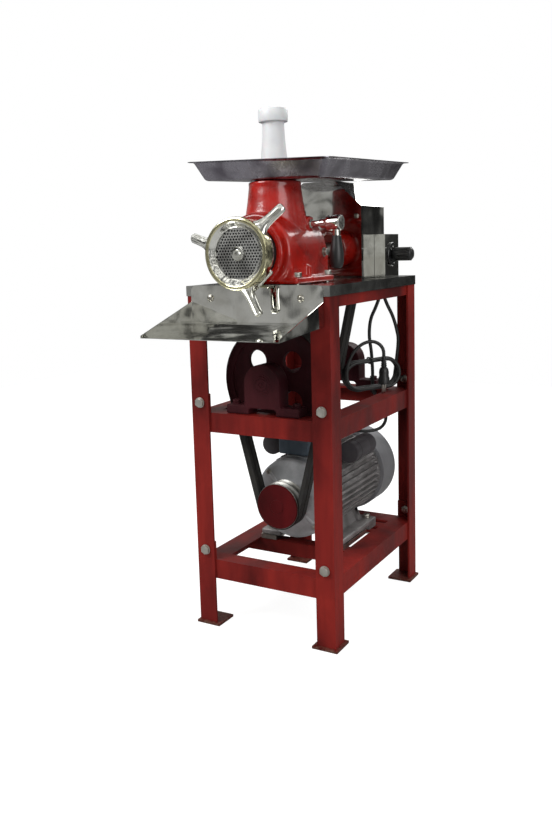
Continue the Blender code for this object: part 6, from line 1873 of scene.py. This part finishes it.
# ---------------------------------------------------------------- studio
@dataclass(frozen=True)
class Studio:
    """The camera, the floor, the sky and the lights."""

    shop: Shop
    eye: Point = (0.82577, -1.59291, 0.76990)
    yaw: float = -30.59
    pitch: float = -8.14
    roll: float = -1.71
    lens: float = 37.17
    shift: tuple[float, float] = (0.0161, -0.0497)
    toward: Point = (-0.5, -0.85, 0.10)
    walls: Profile = ((0.0, 0.10), (0.30, 0.16), (0.45, 0.34), (0.62, 0.40), (0.80, 0.30), (1.0, 0.20))
    ceiling: Profile = ((0.16, 0.0), (0.30, 0.55), (0.55, 0.9), (1.0, 0.8))
    flags: Profile = ((0.42, 0.0), (0.51, 0.12), (0.55, 1.0))
    warmth: float = 0.985

    def set_camera(self) -> None:
        """Put the camera at the photo's viewpoint."""
        yaw, pitch, roll = (math.radians(a) for a in (self.yaw, self.pitch, self.roll))
        ahead = Vector((math.sin(yaw) * math.cos(pitch), math.cos(yaw) * math.cos(pitch), math.sin(pitch)))
        right = Vector((math.cos(yaw), -math.sin(yaw), 0))
        up = right.cross(ahead)
        side = right * math.cos(roll) + up * math.sin(roll)
        top = up * math.cos(roll) - right * math.sin(roll)
        bpy.ops.object.camera_add(location=(0, 0, 0))
        camera = bpy.context.object
        camera.name = "camera"
        turn = Matrix((side, top, -ahead)).transposed().to_4x4()
        camera.matrix_world = Matrix.Translation(self.shop.where.at(*self.eye)) @ turn
        camera.data.sensor_fit = "AUTO"
        camera.data.sensor_width = 36.0
        camera.data.lens = self.lens
        camera.data.shift_x, camera.data.shift_y = self.shift
        camera.data.clip_start = 0.05
        camera.data.clip_end = 50.0
        bpy.context.scene.camera = camera

    def set_floor(self) -> None:
        """A pale floor that melts into the white backdrop and keeps a soft shadow."""
        bpy.ops.mesh.primitive_plane_add(size=6.0, location=(0, 0, -0.0004))
        floor = Bench.taken("floor")
        tree = Tree("studio_floor")
        nodes, links = tree.nodes, tree.links
        tree.feed(tree.shader.inputs["Roughness"], 0.85)
        glow = tree.add("ShaderNodeEmission", None, {"Color": (1, 1, 1, 1), "Strength": 1.36})
        path = tree.add("ShaderNodeLightPath")
        shade = tree.blend(path.outputs["Is Camera Ray"], (0.34, 0.34, 0.34, 1.0), (0.80, 0.80, 0.80, 1.0))
        tree.feed(tree.shader.inputs["Base Color"], shade)
        share = tree.add("ShaderNodeMath", {"operation": "MULTIPLY"},
                         {0: path.outputs["Is Camera Ray"], 1: 0.66})
        mix = tree.add("ShaderNodeMixShader", None,
                       {0: share.outputs[0], 1: tree.shader.outputs[0], 2: glow.outputs[0]})
        links.new(mix.outputs[0], nodes["Material Output"].inputs["Surface"])
        floor.data.materials.append(tree.material)

    def set_sky(self) -> None:
        """White behind the machine for the camera, and a studio with dark flags for reflections."""
        world = bpy.data.worlds.new("studio")
        bpy.context.scene.world = world
        sky = Nodes(world)
        sky.nodes.clear()
        way = sky.add("ShaderNodeTexCoord").outputs["Generated"]
        facing = sky.add("ShaderNodeVectorMath", {"operation": "DOT_PRODUCT"}, {0: way, 1: self.toward})
        level = sky.add("ShaderNodeMapRange", None, {"Value": facing.outputs["Value"], 1: -1.0, 2: 1.0})
        height = sky.add("ShaderNodeSeparateXYZ", None, {0: way}).outputs[2]
        shapes = sky.add("ShaderNodeTexNoise", None,
                         {"Vector": way, "Scale": 9.5, "Detail": 2.0, "Distortion": 1.4}).outputs["Fac"]
        walls = sky.ramp(level.outputs[0], self.walls, self.warmth)
        ceiling = sky.ramp(height, self.ceiling, self.warmth)
        flags = sky.ramp(shapes, self.flags, self.warmth)
        mixed = sky.blend(0.94, sky.blend(1.0, walls, ceiling, "LIGHTEN"), flags, "MULTIPLY")
        room = sky.add("ShaderNodeBackground", None, {"Color": mixed, "Strength": 2.2})
        plain = sky.add("ShaderNodeBackground", None, {"Color": (1, 1, 1, 1), "Strength": 1.0})
        seen = sky.add("ShaderNodeLightPath").outputs["Is Camera Ray"]
        both = sky.add("ShaderNodeMixShader", None, {0: seen, 1: room.outputs[0], 2: plain.outputs[0]})
        sky.add("ShaderNodeOutputWorld", None, {"Surface": both.outputs[0]})

    def set_lights(self) -> None:
        """Three soft boxes: high left in front, right, and behind."""
        aim = self.shop.where.at(0, 0, 0.55)
        for name, place, size, watts in (
            ("key", (-1.5, -2.0, 2.3), 1.3, 62.0),
            ("fill", (2.4, -1.4, 1.3), 1.6, 30.0),
            ("back", (0.4, 2.4, 2.4), 1.4, 34.0),
        ):
            at = self.shop.where.at(*place)
            bpy.ops.object.light_add(type="AREA", location=at)
            light = bpy.context.object
            light.name = name
            light.data.shape = "SQUARE"
            light.data.size = size
            light.data.energy = watts
            light.rotation_euler = (aim - at).to_track_quat("-Z", "Y").to_euler()

    def set_view(self) -> None:
        """Show colours as they are."""
        scene = bpy.context.scene
        scene.view_settings.view_transform = "Standard"
        scene.view_settings.look = "None"

    def build(self) -> None:
        """Set everything but the camera."""
        self.set_floor()
        self.set_sky()
        self.set_lights()
        self.set_view()


def main() -> None:
    """Build the machine's looks and the studio."""
    logging.basicConfig(level=logging.INFO, format="%(name)s: %(message)s")
    shop = Shop()
    studio = Studio(shop)
    studio.set_camera()
    Cords(shop).build()
    assemblies = (Stand(shop), Grinder(shop), Feed(shop), Drive(shop), Motor(shop), Control(shop))
    for assembly in assemblies:
        assembly.build()
        if hasattr(assembly, "dress"):
            assembly.dress()
    studio.build()


if __name__ == "__main__":
    main()
